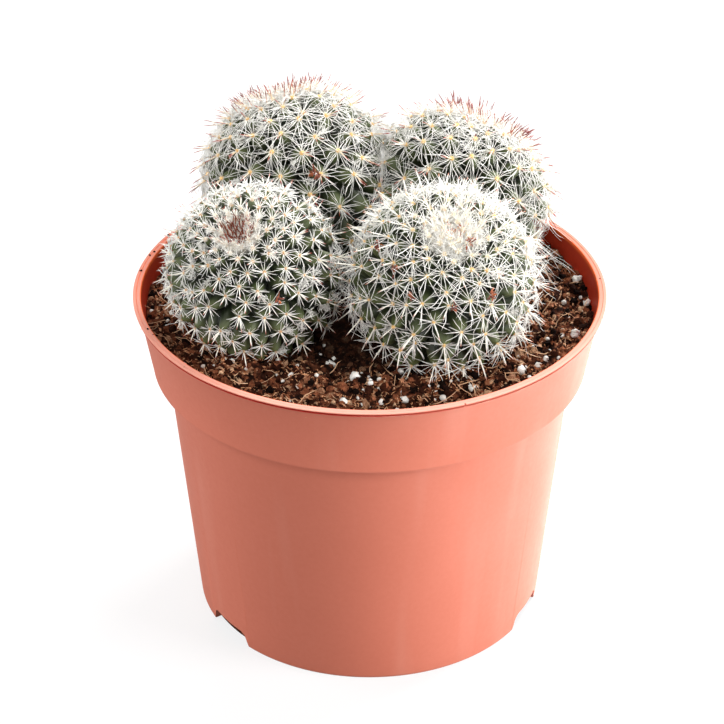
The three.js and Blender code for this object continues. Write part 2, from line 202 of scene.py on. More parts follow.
@dataclass
class Template:
    """A small shape that is modelled once and copied many times.

    Its axis is Z from 0 to 1, and its radius is about 1.
    """

    points: Array
    faces: list[tuple[int, ...]]

    @classmethod
    def take(cls, piece: Piece) -> "Template":
        """Reads a modelled shape and removes its object."""
        template = cls(points_of(piece), [tuple(face.vertices) for face in piece.data.polygons])
        mesh = piece.data
        bpy.data.objects.remove(piece)
        bpy.data.meshes.remove(mesh)
        return template

    @classmethod
    def needle(cls, sides: int, rings: list[Ring]) -> "Template":
        """Models one tapered spine.

        Args:
            sides: how many sides it has.
            rings: height and radius of each ring from the root up; the last is the tip.

        Returns:
            The spine.
        """
        piece = start_turning(sides, [(radius, height) for height, radius in rings[:-1]])
        extrude_up(rings[-1][0] - rings[-2][0])
        bpy.ops.mesh.merge(type="CENTER")
        stop_editing()
        return cls.take(piece)

    @classmethod
    def chip(cls, seed: int, raggedness: float = 0.42) -> "Template":
        """Models one angular flake of peat: a cube cut up once, with every corner pushed about.

        Args:
            seed: which flake it is.
            raggedness: how far its corners move along each axis.

        Returns:
            The flake, about its own middle.
        """
        piece = cut_cube(1.5, 1, 0.3)
        points = points_of(piece)
        draw = np.random.default_rng(seed)
        set_points(piece, points + draw.uniform(-raggedness, raggedness, points.shape))
        return cls.take(piece)

    @classmethod
    def pebble(cls, cuts: int, roughness: float, seed: int) -> "Template":
        """Models one crumb: a cube cut up, rounded and knocked about.

        Args:
            cuts: how many cuts each edge of the cube gets.
            roughness: how far its corners move, as a share of its radius.
            seed: which crumb it is.

        Returns:
            The crumb, about its own middle.
        """
        piece = cut_cube(1.6, cuts, 0.75)
        points = points_of(piece)
        draw = np.random.default_rng(seed)
        set_points(piece, points * (1 + roughness * draw.uniform(-1, 1, (len(points), 1))))
        return cls.take(piece)


@dataclass
class Copies:
    """Where the copies of a template go: one row for each copy.

    The template's Z goes along the axes and its X along the sides. A copy bends towards its side,
    and waves both across and upwards. Bends and waves are shares of its length.
    """

    roots: Array
    axes: Array
    sides: Array
    lengths: Array
    radii: Array
    bends: Array | float = 0.0
    waves: Array | float = 0.0
    wave_turns: Span = (9, 7)

    def mesh(
        self, name: str, template: Template, seed: int, marks: Array | None = None,
        smooth: bool = True,
    ) -> Piece:
        """Makes one piece of all the copies.

        Its UV map holds each copy's mark in u, and the height along it in v.

        Args:
            name: the piece's name.
            template: the shape to copy.
            seed: for the random numbers.
            marks: a number from 0 to 1 for each copy, random where it is left out.
            smooth: whether its faces are shaded smoothly.

        Returns:
            The piece's object.
        """
        x, y, z = template.points.T
        count, step = len(self.roots), len(template.points)
        draw = np.random.default_rng(seed)
        phase = draw.uniform(0, math.tau, (count, 1))
        bends = np.broadcast_to(self.bends, count)[:, None] * self.lengths[:, None]
        waves = np.broadcast_to(self.waves, count)[:, None] * self.lengths[:, None]
        ups = np.cross(self.axes, self.sides)
        first, second = self.wave_turns
        along = self.lengths[:, None] * z
        across = self.radii[:, None] * x + bends * z * z
        across += waves * (np.sin(first * z + phase) - np.sin(phase))
        upward = self.radii[:, None] * y + waves * (np.sin(second * z - phase) + np.sin(phase))
        points = (
            self.roots[:, None, :]
            + along[..., None] * self.axes[:, None, :]
            + across[..., None] * self.sides[:, None, :]
            + upward[..., None] * ups[:, None, :]
        ).reshape(-1, 3)
        faces = [tuple(c + i * step for c in face) for i in range(count) for face in template.faces]
        mesh = bpy.data.meshes.new(name)
        mesh.from_pydata(points.tolist(), [], faces)
        draws = draw.random(count) if marks is None else marks
        corner = np.empty(len(mesh.loops), np.int64)
        mesh.loops.foreach_get("vertex_index", corner)
        uv = np.stack([draws[corner // step], np.clip(z, 0, 1)[corner % step]], -1)
        mesh.uv_layers.new(name="along").data.foreach_set("uv", uv.astype(np.float32).ravel())
        mesh.polygons.foreach_set("use_smooth", np.full(len(mesh.polygons), smooth))
        mesh.update()
        piece = bpy.data.objects.new(name, mesh)
        bpy.context.scene.collection.objects.link(piece)
        return piece


def any_sides(axes: Array, draw: Draw) -> Array:
    """A random direction square to each axis.

    Args:
        axes: directions of length one.
        draw: the random number generator.

    Returns:
        Directions of length one.
    """
    return unit(np.cross(axes, draw.normal(size=axes.shape)))


# ------------------------------------------------------------------ shader helpers


class Sheet:
    """A node tree under construction."""

    def __init__(self, tree: bpy.types.NodeTree) -> None:
        """Starts on an empty tree."""
        self.tree = tree
        tree.nodes.clear()

    def add(self, kind: str, settings: dict | None = None, **inputs: object) -> Node:
        """Adds a node.

        Args:
            kind: the node's type.
            settings: properties to set on the node.
            **inputs: input sockets by name, with _ for a space, each a value or a socket.

        Returns:
            The node.
        """
        node = self.tree.nodes.new(kind)
        for name, value in (settings or {}).items():
            setattr(node, name, value)
        self.fill(node, **inputs)
        return node

    def fill(self, node: Node, **inputs: object) -> None:
        """Feeds input sockets by name, with _ for a space."""
        for name, value in inputs.items():
            self.feed(node, name.replace("_", " "), value)

    def feed(self, node: Node, socket: str | int, value: object) -> None:
        """Links a socket, or sets its value.

        Args:
            node: the node that has the socket.
            socket: the input's name or number.
            value: the output socket to link, or a number, vector or colour.
        """
        target = node.inputs[socket]
        if isinstance(value, Socket):
            self.tree.links.new(value, target)
        elif isinstance(value, tuple) and len(value) == 3 and target.type == "RGBA":
            target.default_value = (*value, 1)
        else:
            target.default_value = value

    def place(self) -> Socket:
        """The place on the piece."""
        return self.add("ShaderNodeTexCoord").outputs["Object"]

    def split(self, vector: Socket) -> tuple[Socket, ...]:
        """A vector's x, y and z."""
        return tuple(self.add("ShaderNodeSeparateXYZ", Vector=vector).outputs)

    def copy_marks(self) -> tuple[Socket, ...]:
        """Each copy's mark and the height along it, from the UV map of the copies."""
        return self.split(self.add("ShaderNodeUVMap", {"uv_map": "along"}).outputs["UV"])[:2]

    def noise(self, vector: object, scale: object, detail: float = 3) -> Socket:
        """Noise from 0 to 1 at a place."""
        node = self.add("ShaderNodeTexNoise", Vector=vector, Scale=scale, Detail=detail)
        return node.outputs["Fac"]

    def ramp(self, value: object, stops: list[tuple[float, Colour]]) -> Socket:
        """A colour ramp over a value.

        Args:
            value: the socket that drives it.
            stops: place and colour of each stop.

        Returns:
            The colour socket.
        """
        node = self.add("ShaderNodeValToRGB", Fac=value)
        elements = node.color_ramp.elements
        elements[0].position, elements[0].color = stops[0][0], (*stops[0][1], 1)
        elements[1].position, elements[1].color = stops[-1][0], (*stops[-1][1], 1)
        for place, colour in stops[1:-1]:
            elements.new(place).color = (*colour, 1)
        return node.outputs["Color"]

    def fade(self, value: object, over: Span, ends: Span = (0, 1)) -> Socket:
        """A value mapped from the span that it fades over to the two ends, and clamped.

        Args:
            value: the value.
            over: where the fade starts and where it stops.
            ends: the result before the start and past the stop.

        Returns:
            The result's socket.
        """
        limits = {"From_Min": over[0], "From_Max": over[1], "To_Min": ends[0], "To_Max": ends[1]}
        return self.add("ShaderNodeMapRange", Value=value, **limits).outputs["Result"]

    def math(self, operation: str, first: object, second: object = 0.0) -> Socket:
        """The result of a sum on two values."""
        node = self.add("ShaderNodeMath", {"operation": operation})
        self.feed(node, 0, first)
        self.feed(node, 1, second)
        return node.outputs[0]

    def mix(self, factor: object, first: object, second: object, blend: str = "MIX") -> Socket:
        """Two colours mixed by a factor.

        Args:
            factor: the second colour's share.
            first: the colour where the factor is 0.
            second: the colour that is mixed in.
            blend: how it is mixed in.

        Returns:
            The colour socket.
        """
        node = self.add("ShaderNodeMix", {"data_type": "RGBA", "blend_type": blend})
        for socket, value in ((0, factor), (6, first), (7, second)):
            self.feed(node, socket, value)
        return node.outputs[2]


def grain_group() -> bpy.types.NodeTree:
    """The shared grain: blotches and fine specks, as a colour and a height.

    Returns:
        The node group, made on the first call.
    """
    name = "natural_grain"
    if name in bpy.data.node_groups:
        return bpy.data.node_groups[name]
    tree = bpy.data.node_groups.new(name, "ShaderNodeTree")
    for label, side, kind in (
        ("Colour", "INPUT", "NodeSocketColor"),
        ("Dark", "INPUT", "NodeSocketColor"),
        ("Blotch Scale", "INPUT", "NodeSocketFloat"),
        ("Speck Scale", "INPUT", "NodeSocketFloat"),
        ("Amount", "INPUT", "NodeSocketFloat"),
        ("Result", "OUTPUT", "NodeSocketColor"),
        ("Height", "OUTPUT", "NodeSocketFloat"),
    ):
        tree.interface.new_socket(label, in_out=side, socket_type=kind)
    sheet = Sheet(tree)
    given = sheet.add("NodeGroupInput").outputs
    place = sheet.place()
    blotch = sheet.math("MULTIPLY", sheet.noise(place, given["Blotch Scale"]), 0.5)
    speck = sheet.math("MULTIPLY", sheet.noise(place, given["Speck Scale"], 2), 0.5)
    height = sheet.math("ADD", blotch, speck)
    mask = sheet.math("MULTIPLY", sheet.fade(height, (0.35, 0.65)), given["Amount"])
    colour = sheet.mix(mask, given["Colour"], given["Dark"])
    sheet.add("NodeGroupOutput", Result=colour, Height=height)
    return tree


@dataclass(frozen=True)
class Grain:
    """How fine, how strong and how deep the shared grain is on one finish."""

    blotch_scale: float
    speck_scale: float
    amount: float
    depth: float


class Finish:
    """A finish that makes its material once."""

    name: str
    roughness: float | Span
    specular: float = 0.5

    def material(self) -> bpy.types.Material:
        """The material of this finish, made on the first call."""
        if self.name in bpy.data.materials:
            return bpy.data.materials[self.name]
        made = bpy.data.materials.new(self.name)
        made.use_nodes = True
        sheet = Sheet(made.node_tree)
        surface = sheet.add("ShaderNodeBsdfPrincipled")
        sheet.add("ShaderNodeOutputMaterial", Surface=surface.outputs["BSDF"])
        self.paint(sheet, surface)
        return made

    def paint(self, sheet: Sheet, surface: Node) -> None:
        """Feeds the surface's sockets."""
        raise NotImplementedError

    def cover(self, sheet: Sheet, surface: Node, colour: object, **others: object) -> None:
        """Feeds the surface its colour, roughness and specular level.

        Args:
            sheet: the material's tree.
            surface: the shader.
            colour: the colour.
            **others: more sockets by name, or another roughness.
        """
        inputs = {"Roughness": self.roughness, "Specular_IOR_Level": self.specular, **others}
        sheet.fill(surface, Base_Color=colour, **inputs)

    @staticmethod
    def roughen(
        sheet: Sheet, surface: Node, grain: Grain, colour: object, dark: object
    ) -> Node:
        """Places the shared grain and raises the surface by it.

        Args:
            sheet: the material's tree.
            surface: the shader that gets the raised normal.
            grain: how fine, strong and deep the grain is.
            colour: the colour between the grains.
            dark: the colour on them.

        Returns:
            The group's node, which puts out the colour as Result, and the Height.
        """
        node = sheet.add("ShaderNodeGroup", {"node_tree": grain_group()}, Colour=colour, Dark=dark)
        scales = {"Blotch_Scale": grain.blotch_scale, "Speck_Scale": grain.speck_scale}
        sheet.fill(node, Amount=grain.amount, **scales)
        height = node.outputs["Height"]
        bump = sheet.add("ShaderNodeBump", Height=height, Distance=grain.depth, Strength=1.0)
        sheet.feed(surface, "Normal", bump.outputs["Normal"])
        return node


# ------------------------------------------------------------------ finishes


@dataclass(frozen=True)
class PotPlastic(Finish):
    """Satin terracotta polypropylene with dust, and painted sheen, shade and glints at the lip."""

    name: str = "moulded_terracotta_plastic"
    colour: Colour = (0.62, 0.172, 0.106)
    shade: Colour = (0.575, 0.154, 0.094)
    grain: Grain = Grain(38, 700, 0.35, 0.04 * MM)
    roughness: Span = (0.63, 0.75)
    # the dust on the flow lines, and also the pale colour of the lip's painted sheen
    dust_and_lip_sheen: Colour = (0.8, 0.42, 0.33)
    dusting: float = 0.18
    flow_scale: tuple[float, float, float] = (90, 90, 3)
    # painted sheen on the lip's top: its heights, and how pale it is made from the front to the
    # back
    lip: Span = (97.1 * MM, 97.35 * MM)
    lip_sheen_amounts: Span = (0.62, 0.2)
    lip_sheen_depths: Span = (-60 * MM, 10 * MM)
    # painted shade: the groove under the lip is coloured deep red, fading out towards the right
    groove: Colour = (0.42, 0.01, 0.002)
    groove_shade_heights: Span = (96.4 * MM, 96.98 * MM)
    groove_shade_fading: Span = (1, 0.25)
    groove_shade_across: Span = (-5 * MM, 30 * MM)
    # painted glints: pale patches along the ridge just under the groove
    painted_glint: Colour = (1.0, 0.72, 0.58)
    painted_glint_scale: float = 110
    painted_glints: Span = (0.54, 0.58)
    soft: float = 0.05 * MM

    def band(self, sheet: Sheet, height: Socket, low: float, high: float) -> Socket:
        """A mask that is 1 from the low height to the high one, with soft edges."""
        above = sheet.fade(height, (low - self.soft, low))
        below = sheet.fade(height, (high, high + self.soft), (1, 0))
        return sheet.math("MULTIPLY", above, below)

    def paint(self, sheet: Sheet, surface: Node) -> None:
        """Mottled plastic with dusty flow lines, and painted sheen, painted shade and painted
        glints at the lip.
        """
        place = sheet.place()
        across, depth, height = sheet.split(place)
        grain = self.roughen(sheet, surface, self.grain, self.colour, self.shade)
        stretched = sheet.add("ShaderNodeMapping", Vector=place, Scale=self.flow_scale)
        flow = sheet.noise(stretched.outputs["Vector"], 1, 2)
        dusty = sheet.math("MULTIPLY", sheet.fade(flow, (0.55, 0.8)), self.dusting)
        # painted sheen: the lip's top is made paler, most at the front
        sheen_to_front = sheet.fade(depth, self.lip_sheen_depths, self.lip_sheen_amounts)
        lip_sheen = sheet.math("MULTIPLY", sheet.fade(height, self.lip), sheen_to_front)
        # the dust on the flow lines and the painted sheen on the lip share one pale colour
        mask = sheet.math("MAXIMUM", dusty, lip_sheen)
        colour = sheet.mix(mask, grain.outputs["Result"], self.dust_and_lip_sheen)
        low, high = self.groove_shade_heights
        # painted glints: pale patches along the ridge just under the groove
        ridge = self.band(sheet, height, low - 3 * self.soft, low - self.soft)
        painted_glints = sheet.fade(sheet.noise(place, self.painted_glint_scale, 2), self.painted_glints)
        colour = sheet.mix(sheet.math("MULTIPLY", ridge, painted_glints), colour, self.painted_glint)
        # painted shade: the groove under the lip is coloured deep red, most on the left
        groove = sheet.math(
            "MULTIPLY",
            self.band(sheet, height, low, high),
            sheet.fade(across, self.groove_shade_across, self.groove_shade_fading),
        )
        rough = sheet.fade(grain.outputs["Height"], (0.3, 0.7), self.roughness)
        self.cover(sheet, surface, sheet.mix(groove, colour, self.groove), Roughness=rough)


@dataclass(frozen=True)
class PotInsideShade(Finish):
    """The same plastic inside the wall, in painted deep red shade, with a painted glow at the lip.
    """

    name: str = "terracotta_inside_painted_shade"
    # painted shade: the inside wall's colour, far darker and redder than the outside
    inside_shade: Colour = (0.42, 0.035, 0.014)
    dark: Colour = (0.3, 0.022, 0.01)
    # painted glow: the inside turns bright orange towards the lip
    edge: Colour = (0.85, 0.15, 0.04)
    glow_heights: Span = (96.2 * MM, 97.1 * MM)
    grain: Grain = Grain(30, 700, 0.5, 0.04 * MM)
    roughness: float = 0.42
    specular: float = 0.12

    def paint(self, sheet: Sheet, surface: Node) -> None:
        """Dark smooth plastic as painted shade, with a painted glow towards the edge."""
        height = sheet.split(sheet.place())[2]
        grain = self.roughen(sheet, surface, self.grain, self.inside_shade, self.dark)
        # painted glow towards the lip
        glow = sheet.fade(height, self.glow_heights)
        self.cover(sheet, surface, sheet.mix(glow, grain.outputs["Result"], self.edge))


@dataclass(frozen=True)
class Flesh(Finish):
    """The plant's skin: grey-green on the tubercles, painted shade in the furrows, white where
    woolly.
    """

    name: str = "cactus_flesh"
    # painted shade: the furrows are coloured near black, far darker than the flanks and tips
    furrow_shade: Colour = (0.003, 0.004, 0.0015)
    flank: Colour = (0.02, 0.029, 0.009)
    tip: Colour = (0.12, 0.15, 0.052)
    olive: Colour = (0.28, 0.26, 0.035)
    olive_amount: float = 0.6
    wool: Colour = (0.8, 0.76, 0.68)
    grain: Grain = Grain(260, 2500, 0.4, 0.25 * MM)
    roughness: Span = (0.5, 0.95)

    def paint(self, sheet: Sheet, surface: Node) -> None:
        """Colours by the height of the tubercle, painting shade into the furrows, and by the share
        of wool.
        """
        height, woolly = (
            sheet.add("ShaderNodeAttribute", {"attribute_name": name}).outputs["Fac"]
            for name in ("tubercle", "wool")
        )
        # painted shade: the skin darkens from the tubercles' tips down into the furrows
        skin = sheet.ramp(height, [(0.08, self.furrow_shade), (0.4, self.flank), (0.88, self.tip)])
        patches = sheet.fade(sheet.noise(sheet.place(), 90), (0.48, 0.66))
        olive = sheet.math("MULTIPLY", patches, self.olive_amount)
        skin = sheet.mix(olive, skin, sheet.mix(1.0, skin, self.olive, "SOFT_LIGHT"))
        grain = self.roughen(sheet, surface, self.grain, skin, self.flank)
        colour = sheet.mix(woolly, grain.outputs["Result"], self.wool)
        rough = sheet.fade(woolly, (0, 1), self.roughness)
        self.cover(sheet, surface, colour, Roughness=rough)


@dataclass(frozen=True)
class SpineFinish(Finish):
    """A spine's colours from its root to its tip, by v of its UV map."""

    name: str
    root: Colour
    shaft: Colour
    tip: Colour
    tip_start: float
    variation: float = 0.0
    shaft_start: float = 0.14
    tip_blend: float = 0.22
    roughness: float = 0.38

    def paint(self, sheet: Sheet, surface: Node) -> None:
        """Blends root, shaft and tip, with each spine a little different."""
        mark, along = sheet.copy_marks()
        stops = [
            (0.0, self.root),
            (self.shaft_start, self.shaft),
            (self.tip_start, self.shaft),
            (min(self.tip_start + self.tip_blend, 1), self.tip),
        ]
        pale = sheet.fade(mark, (0, 1), (0, self.variation))
        self.cover(sheet, surface, sheet.mix(pale, sheet.ramp(along, stops), self.shaft))


@dataclass(frozen=True)
class Felt(Finish):
    """Short woolly felt that changes with age, by u of its UV map."""

    name: str
    new: Colour
    old: Colour
    ageing: Span = (0.25, 0.7)
    grain: Grain = Grain(700, 4000, 0.35, 0.2 * MM)
    roughness: float = 0.9
    sheen: float = 0.3

    def paint(self, sheet: Sheet, surface: Node) -> None:
        """Soft mottled wool, new where u is 0 and old where it is 1."""
        age, _ = sheet.copy_marks()
        aged = sheet.mix(sheet.fade(age, self.ageing), self.new, self.old)
        grain = self.roughen(sheet, surface, self.grain, aged, self.old)
        self.cover(sheet, surface, grain.outputs["Result"], Sheen_Weight=self.sheen)


@dataclass(frozen=True)
class Peat(Finish):
    """Dark moist peat, each crumb its own brown, with painted shade towards the middle of the pot.
    """

    name: str
    by_crumb: bool
    dark: Colour = (0.006, 0.002, 0.001)
    brown: Colour = (0.075, 0.02, 0.009)
    rust: Colour = (0.44, 0.15, 0.07)
    tan: Colour = (0.95, 0.6, 0.36)
    # painted shade: the soil is darkened towards the middle of the pot, between the heads
    middle_shade_reach: Span = (29 * MM, 40 * MM)
    middle_shade: float = 0.85
    patch_scale: float = 420
    grain: Grain = Grain(900, 3500, 0.8, 0.8 * MM)
    roughness: float = 0.9
    specular: float = 0.08

    def paint(self, sheet: Sheet, surface: Node) -> None:
        """Browns by crumb or by place, with painted shade towards the middle."""
        place = sheet.place()
        if self.by_crumb:
            value, _ = sheet.copy_marks()
        else:
            value = sheet.fade(sheet.noise(place, self.patch_scale, 5), (0.3, 0.75))
        stops = [(0.1, self.dark), (0.43, self.brown), (0.71, self.rust), (0.92, self.tan)]
        flat = sheet.add("ShaderNodeVectorMath", {"operation": "MULTIPLY"}, Vector=place)
        sheet.feed(flat, 1, (1, 1, 0))
        reach = sheet.add("ShaderNodeVectorMath", {"operation": "LENGTH"}, Vector=flat.outputs[0])
        # painted shade: darker towards the middle, where the heads shade the soil
        middle_shade = sheet.fade(reach.outputs["Value"], self.middle_shade_reach, (self.middle_shade, 0))
        browns = sheet.mix(middle_shade, sheet.ramp(value, stops), self.dark)
        grain = self.roughen(sheet, surface, self.grain, browns, self.dark)
        self.cover(sheet, surface, grain.outputs["Result"])


@dataclass(frozen=True)
class Perlite(Finish):
    """Puffed white mineral with small pits."""

    name: str = "perlite"
    colour: Colour = (0.92, 0.9, 0.86)
    pit: Colour = (0.5, 0.42, 0.34)
    grain: Grain = Grain(700, 2600, 0.45, 0.6 * MM)
    roughness: float = 0.85

    def paint(self, sheet: Sheet, surface: Node) -> None:
        """White with shallow pits and a little dirt."""
        grain = self.roughen(sheet, surface, self.grain, self.colour, self.pit)
        self.cover(sheet, surface, grain.outputs["Result"])


@dataclass(frozen=True)
class StudioPaper(Finish):
    """The glowing white sheet that the pot stands on.

    The camera sees it glow evenly; glossy rays see a painted reflection, brighter on the key lamp's
    side.
    """

    name: str = "studio_paper"
    colour: Colour = (0.2, 0.2, 0.2)
    glow: float = 0.75
    # painted reflection: how strongly glossy rays see the sheet glow, from the left to the key
    # lamp's side
    painted_reflection: Span = (0.3, 6.5)
    painted_reflection_across: Span = (5 * MM, 70 * MM)
    roughness: float = 0.95
    specular: float = 0.1

    def paint(self, sheet: Sheet, surface: Node) -> None:
        """Plain matt white that looks bright but throws little light back up; glossy rays see a
        painted reflection.
        """
        path = sheet.add("ShaderNodeLightPath").outputs
        across = sheet.split(sheet.place())[0]
        # painted reflection on the pot's flanks, brighter towards the key lamp's side
        bright = sheet.fade(across, self.painted_reflection_across, self.painted_reflection)
        seen = sheet.math("MULTIPLY", path["Is Camera Ray"], self.glow)
        painted_reflection = sheet.math("MULTIPLY", path["Is Glossy Ray"], bright)
        glow = sheet.math("ADD", seen, painted_reflection)
        self.cover(sheet, surface, self.colour, Emission_Color=WHITE, Emission_Strength=glow)


RADIAL_WHITE = SpineFinish(
    "radial_spine", (0.93, 0.88, 0.74), (0.95, 0.935, 0.89), (0.95, 0.91, 0.84), 0.8
)
CENTRAL_BROWN = SpineFinish(
    "central_spine", (0.9, 0.62, 0.3), (0.95, 0.91, 0.8), (0.5, 0.06, 0.025), 0.68
)
CENTRAL_ORANGE = SpineFinish(
    "stout_central_spine", (0.92, 0.5, 0.1), (0.95, 0.92, 0.82), (0.7, 0.13, 0.025), 0.74
)
CENTRAL_RED = SpineFinish(
    "long_central_spine", (0.88, 0.48, 0.1), (0.9, 0.74, 0.54), (0.36, 0.04, 0.02), 0.45
)
CROWN_RED = SpineFinish(
    "crown_spine", (0.75, 0.4, 0.2), (0.42, 0.1, 0.03), (0.16, 0.026, 0.01), 0.45
)
CROWN_ORANGE = SpineFinish(
    "pale_crown_spine", (0.95, 0.85, 0.65), (0.88, 0.5, 0.2), (0.5, 0.12, 0.04), 0.4
)
CROWN_TIPPED = SpineFinish(
    "tipped_crown_spine", (0.95, 0.8, 0.6), (0.8, 0.5, 0.36), (0.2, 0.03, 0.025), 0.38
)
HAIR_WHITE = SpineFinish("hair", (0.95, 0.93, 0.87), (0.96, 0.945, 0.9), (0.96, 0.945, 0.9), 0.9)
ROOT_TAN = SpineFinish("root_fibre", (0.3, 0.12, 0.05), (0.7, 0.42, 0.24), (0.55, 0.3, 0.15), 0.8)
RUST_FIBRE = SpineFinish(
    "peat_curl", (0.12, 0.035, 0.014), (0.75, 0.36, 0.17), (0.35, 0.12, 0.05), 0.7, 0.7
)
TAN_FELT = Felt("tan_areole_felt", (0.85, 0.8, 0.7), (0.66, 0.4, 0.2))
YELLOW_FELT = Felt("yellow_areole_felt", (0.93, 0.87, 0.7), (0.86, 0.56, 0.22))
DRY_FLOWER = Felt("dry_flower", (0.5, 0.13, 0.035), (0.14, 0.022, 0.008))
BED_PEAT = Peat("peat_bed", by_crumb=False)
CRUMB_PEAT = Peat("peat_crumbs", by_crumb=True)


# ------------------------------------------------------------------ the pot


@dataclass
class NurseryPot:
    """The thin-walled pot: tapered body, collar, lip and a base on three feet."""

    sides: int = 192
    height: float = 97.4 * MM
    rim_radius: float = 65 * MM
    lip_width: float = 2.15 * MM
    lip_drop: float = 1.15 * MM
    lip_groove: float = 0.75 * MM
    collar_top: float = 63.7 * MM
    collar_foot: float = 60.3 * MM
    collar_foot_height: float = 76 * MM
    shoulder: float = 56.3 * MM
    base_radius: float = 49.2 * MM
    wall: float = 1.0 * MM
    floor: float = 1.2 * MM
    recess_radius: float = 38 * MM
    recess_taper: float = 0.6 * MM
    rise: float = 4.6 * MM
    notch_azimuths: tuple[float, ...] = (-54, 66, 186)
    notch_width: float = 18.6 * MM
    notch_flank: float = 2.2 * MM
    notch_overlap: float = 4 * MM
    notch_rounding: float = 1.6 * MM
    drain_radius: float = 3.5 * MM
    drain_ring: float = 27 * MM
    drains: int = 6
    nick_azimuth: float = 22.0
    nick_depth: float = 0.6 * MM
    nick_size: tuple[float, float, float] = (0.5 * MM, 1.1 * MM, 1.4 * MM)
    crease: float = 38.0

    def outline(self) -> list[Ring]:
        """Radius and height of each ring: up the outside, over the lip and down inside."""
        foot, top, rim, wall = self.collar_foot_height, self.height, self.rim_radius, self.wall
        lip_foot, groove = top - self.lip_drop, rim - self.lip_groove
        corners = (
            # a corner's radius and height, and how many millimetres out and up each ring is from it
            (self.base_radius, 0, (-0.9, 0), (-0.27, 0.0675), (-0.045, 0.315), (0.045, 0.9)),
            (self.shoulder, foot, (-0.02, -0.45), (0.135, -0.09), (0.45, 0)),
            (self.collar_foot, foot, (-0.45, 0), (-0.135, 0.09), (0, 0.36), (0.045, 0.9)),
            (self.collar_top, lip_foot, (0, -0.225), (0.1125, -0.045)),
            (rim, lip_foot, (-0.35, 0.04), (-0.25, 0.1), (-0.3, 0.2)),
            (groove, lip_foot, (0, 0.24)),
            (groove, top, (0, -0.42)),
            (rim, top, (-0.08, -0.39), (0, -0.32), (0, -0.16), (-0.06, -0.05), (-0.22, 0)),
            (rim, top, (-0.85, 0), (-0.95, -0.12), (-1.05, 0)),
            (rim - self.lip_width, top, (0.25, 0), (0.06, -0.06), (0, -0.25)),
            (self.collar_foot - wall, foot + wall, (0, 1), (-1, 0)),
            (self.shoulder - wall, foot + 0.5 * wall, (0, 0)),
            (self.base_radius - wall, self.floor, (0, 0)),
        )
        return [
            (radius + out * MM, height + up * MM)
            for radius, height, *steps in corners
            for out, up in steps
        ]

    def shell(self) -> Piece:
        """Turns the pot's wall and flat floor as one closed solid."""
        pot = start_turning(self.sides, self.outline())
        stop_editing()
        pot.name = "nursery_pot"
        return pot

    def base_block(self, margin: float, reach: float) -> Piece:
        """Models the raised middle of the base with its three notches, grown by a margin.

        Args:
            margin: how much larger than the recess it is.
            reach: how far out the notches go.

        Returns:
            The block, which cuts the recess or becomes the raised floor.
        """
        top = self.rise + margin
        foot = -2 * MM if margin == 0 else 0.2 * MM
        clear_selection()
        bpy.ops.mesh.primitive_cone_add(
            vertices=96,
            radius1=self.recess_radius + margin + self.recess_taper,
            radius2=self.recess_radius + margin - self.recess_taper,
            depth=top - foot,
            location=(0, 0, (top + foot) / 2),
        )
        block = bpy.context.object
        bpy.ops.object.transform_apply()
        for azimuth in self.notch_azimuths:
            cut_or_join(block, self.notch(margin, reach, foot, top, math.radians(azimuth)), "UNION")
        return block

    def notch(
        self, margin: float, reach: float, foot: float, top: float, azimuth: float
    ) -> Piece:
        """Models one notch: a block with leaning ends and rounded upper edges.

        Args:
            margin: how much larger than the notch it is.
            reach: its outer end's distance from the axis.
            foot: its lowest height.
            top: its highest height.
            azimuth: its angle from the front towards the right, in radians.

        Returns:
            The notch's block.
        """
        inner = self.recess_radius - self.notch_overlap
        middle = (foot + top) / 2
        clear_selection()
        bpy.ops.mesh.primitive_cube_add(size=1, location=(0, -(inner + reach) / 2, middle))
        block = start_editing()
        bpy.ops.transform.resize(value=(self.notch_width + 2 * margin, reach - inner, top - foot))
        bpy.ops.object.mode_set(mode="OBJECT")
        points = points_of(block) + np.array(block.location)
        block.location = (0, 0, 0)
        upper = points[:, 2] > middle
        points[upper, 0] -= np.sign(points[upper, 0]) * self.notch_flank
        set_points(block, points)
        bevel = block.modifiers.new("round", "BEVEL")
        bevel.width = self.notch_rounding
        bevel.segments = 4
        bevel.limit_method = "ANGLE"
        bpy.ops.object.modifier_apply(modifier=bevel.name)
        block.data.transform(Matrix.Rotation(azimuth, 4, "Z"))
        return block

    def nick(self) -> Piece:
        """Models the block that cuts the small nick in the lip, right of the front."""
        clear_selection()
        place = (0, -self.rim_radius, self.height - self.nick_depth)
        bpy.ops.mesh.primitive_cube_add(size=1, location=place)
        block = start_editing()
        bpy.ops.transform.resize(value=self.nick_size)
        bpy.ops.object.mode_set(mode="OBJECT")
        bpy.ops.object.transform_apply()
        block.data.transform(Matrix.Rotation(math.radians(self.nick_azimuth), 4, "Z"))
        return block

    def drain(self, x: float, y: float) -> Piece:
        """Models the plug that cuts one drain hole."""
        clear_selection()
        bpy.ops.mesh.primitive_cylinder_add(
            vertices=32, radius=self.drain_radius, depth=8 * MM, location=(x, y, self.rise)
        )
        bpy.ops.object.transform_apply()
        return bpy.context.object

    def build(self) -> None:
        """Models the pot and dresses it."""
        pot = self.shell()
        raised_floor = self.base_block(self.floor, self.base_radius - 0.5 * self.wall)
        cut_or_join(pot, raised_floor, "UNION")
        cut_or_join(pot, self.base_block(0, self.rim_radius), "DIFFERENCE")
        cut_or_join(pot, self.nick(), "DIFFERENCE")
        cut_or_join(pot, self.drain(0, 0), "DIFFERENCE")
        for number in range(self.drains):
            angle = number * math.tau / self.drains
            place = (self.drain_ring * math.sin(angle), -self.drain_ring * math.cos(angle))
            cut_or_join(pot, self.drain(*place), "DIFFERENCE")
        clear_selection()
        pot.select_set(True)
        bpy.context.view_layer.objects.active = pot
        bpy.ops.object.shade_smooth_by_angle(angle=math.radians(self.crease))
        dress(pot, PotPlastic(), "pot")
        self.paint_inside_shade(pot)

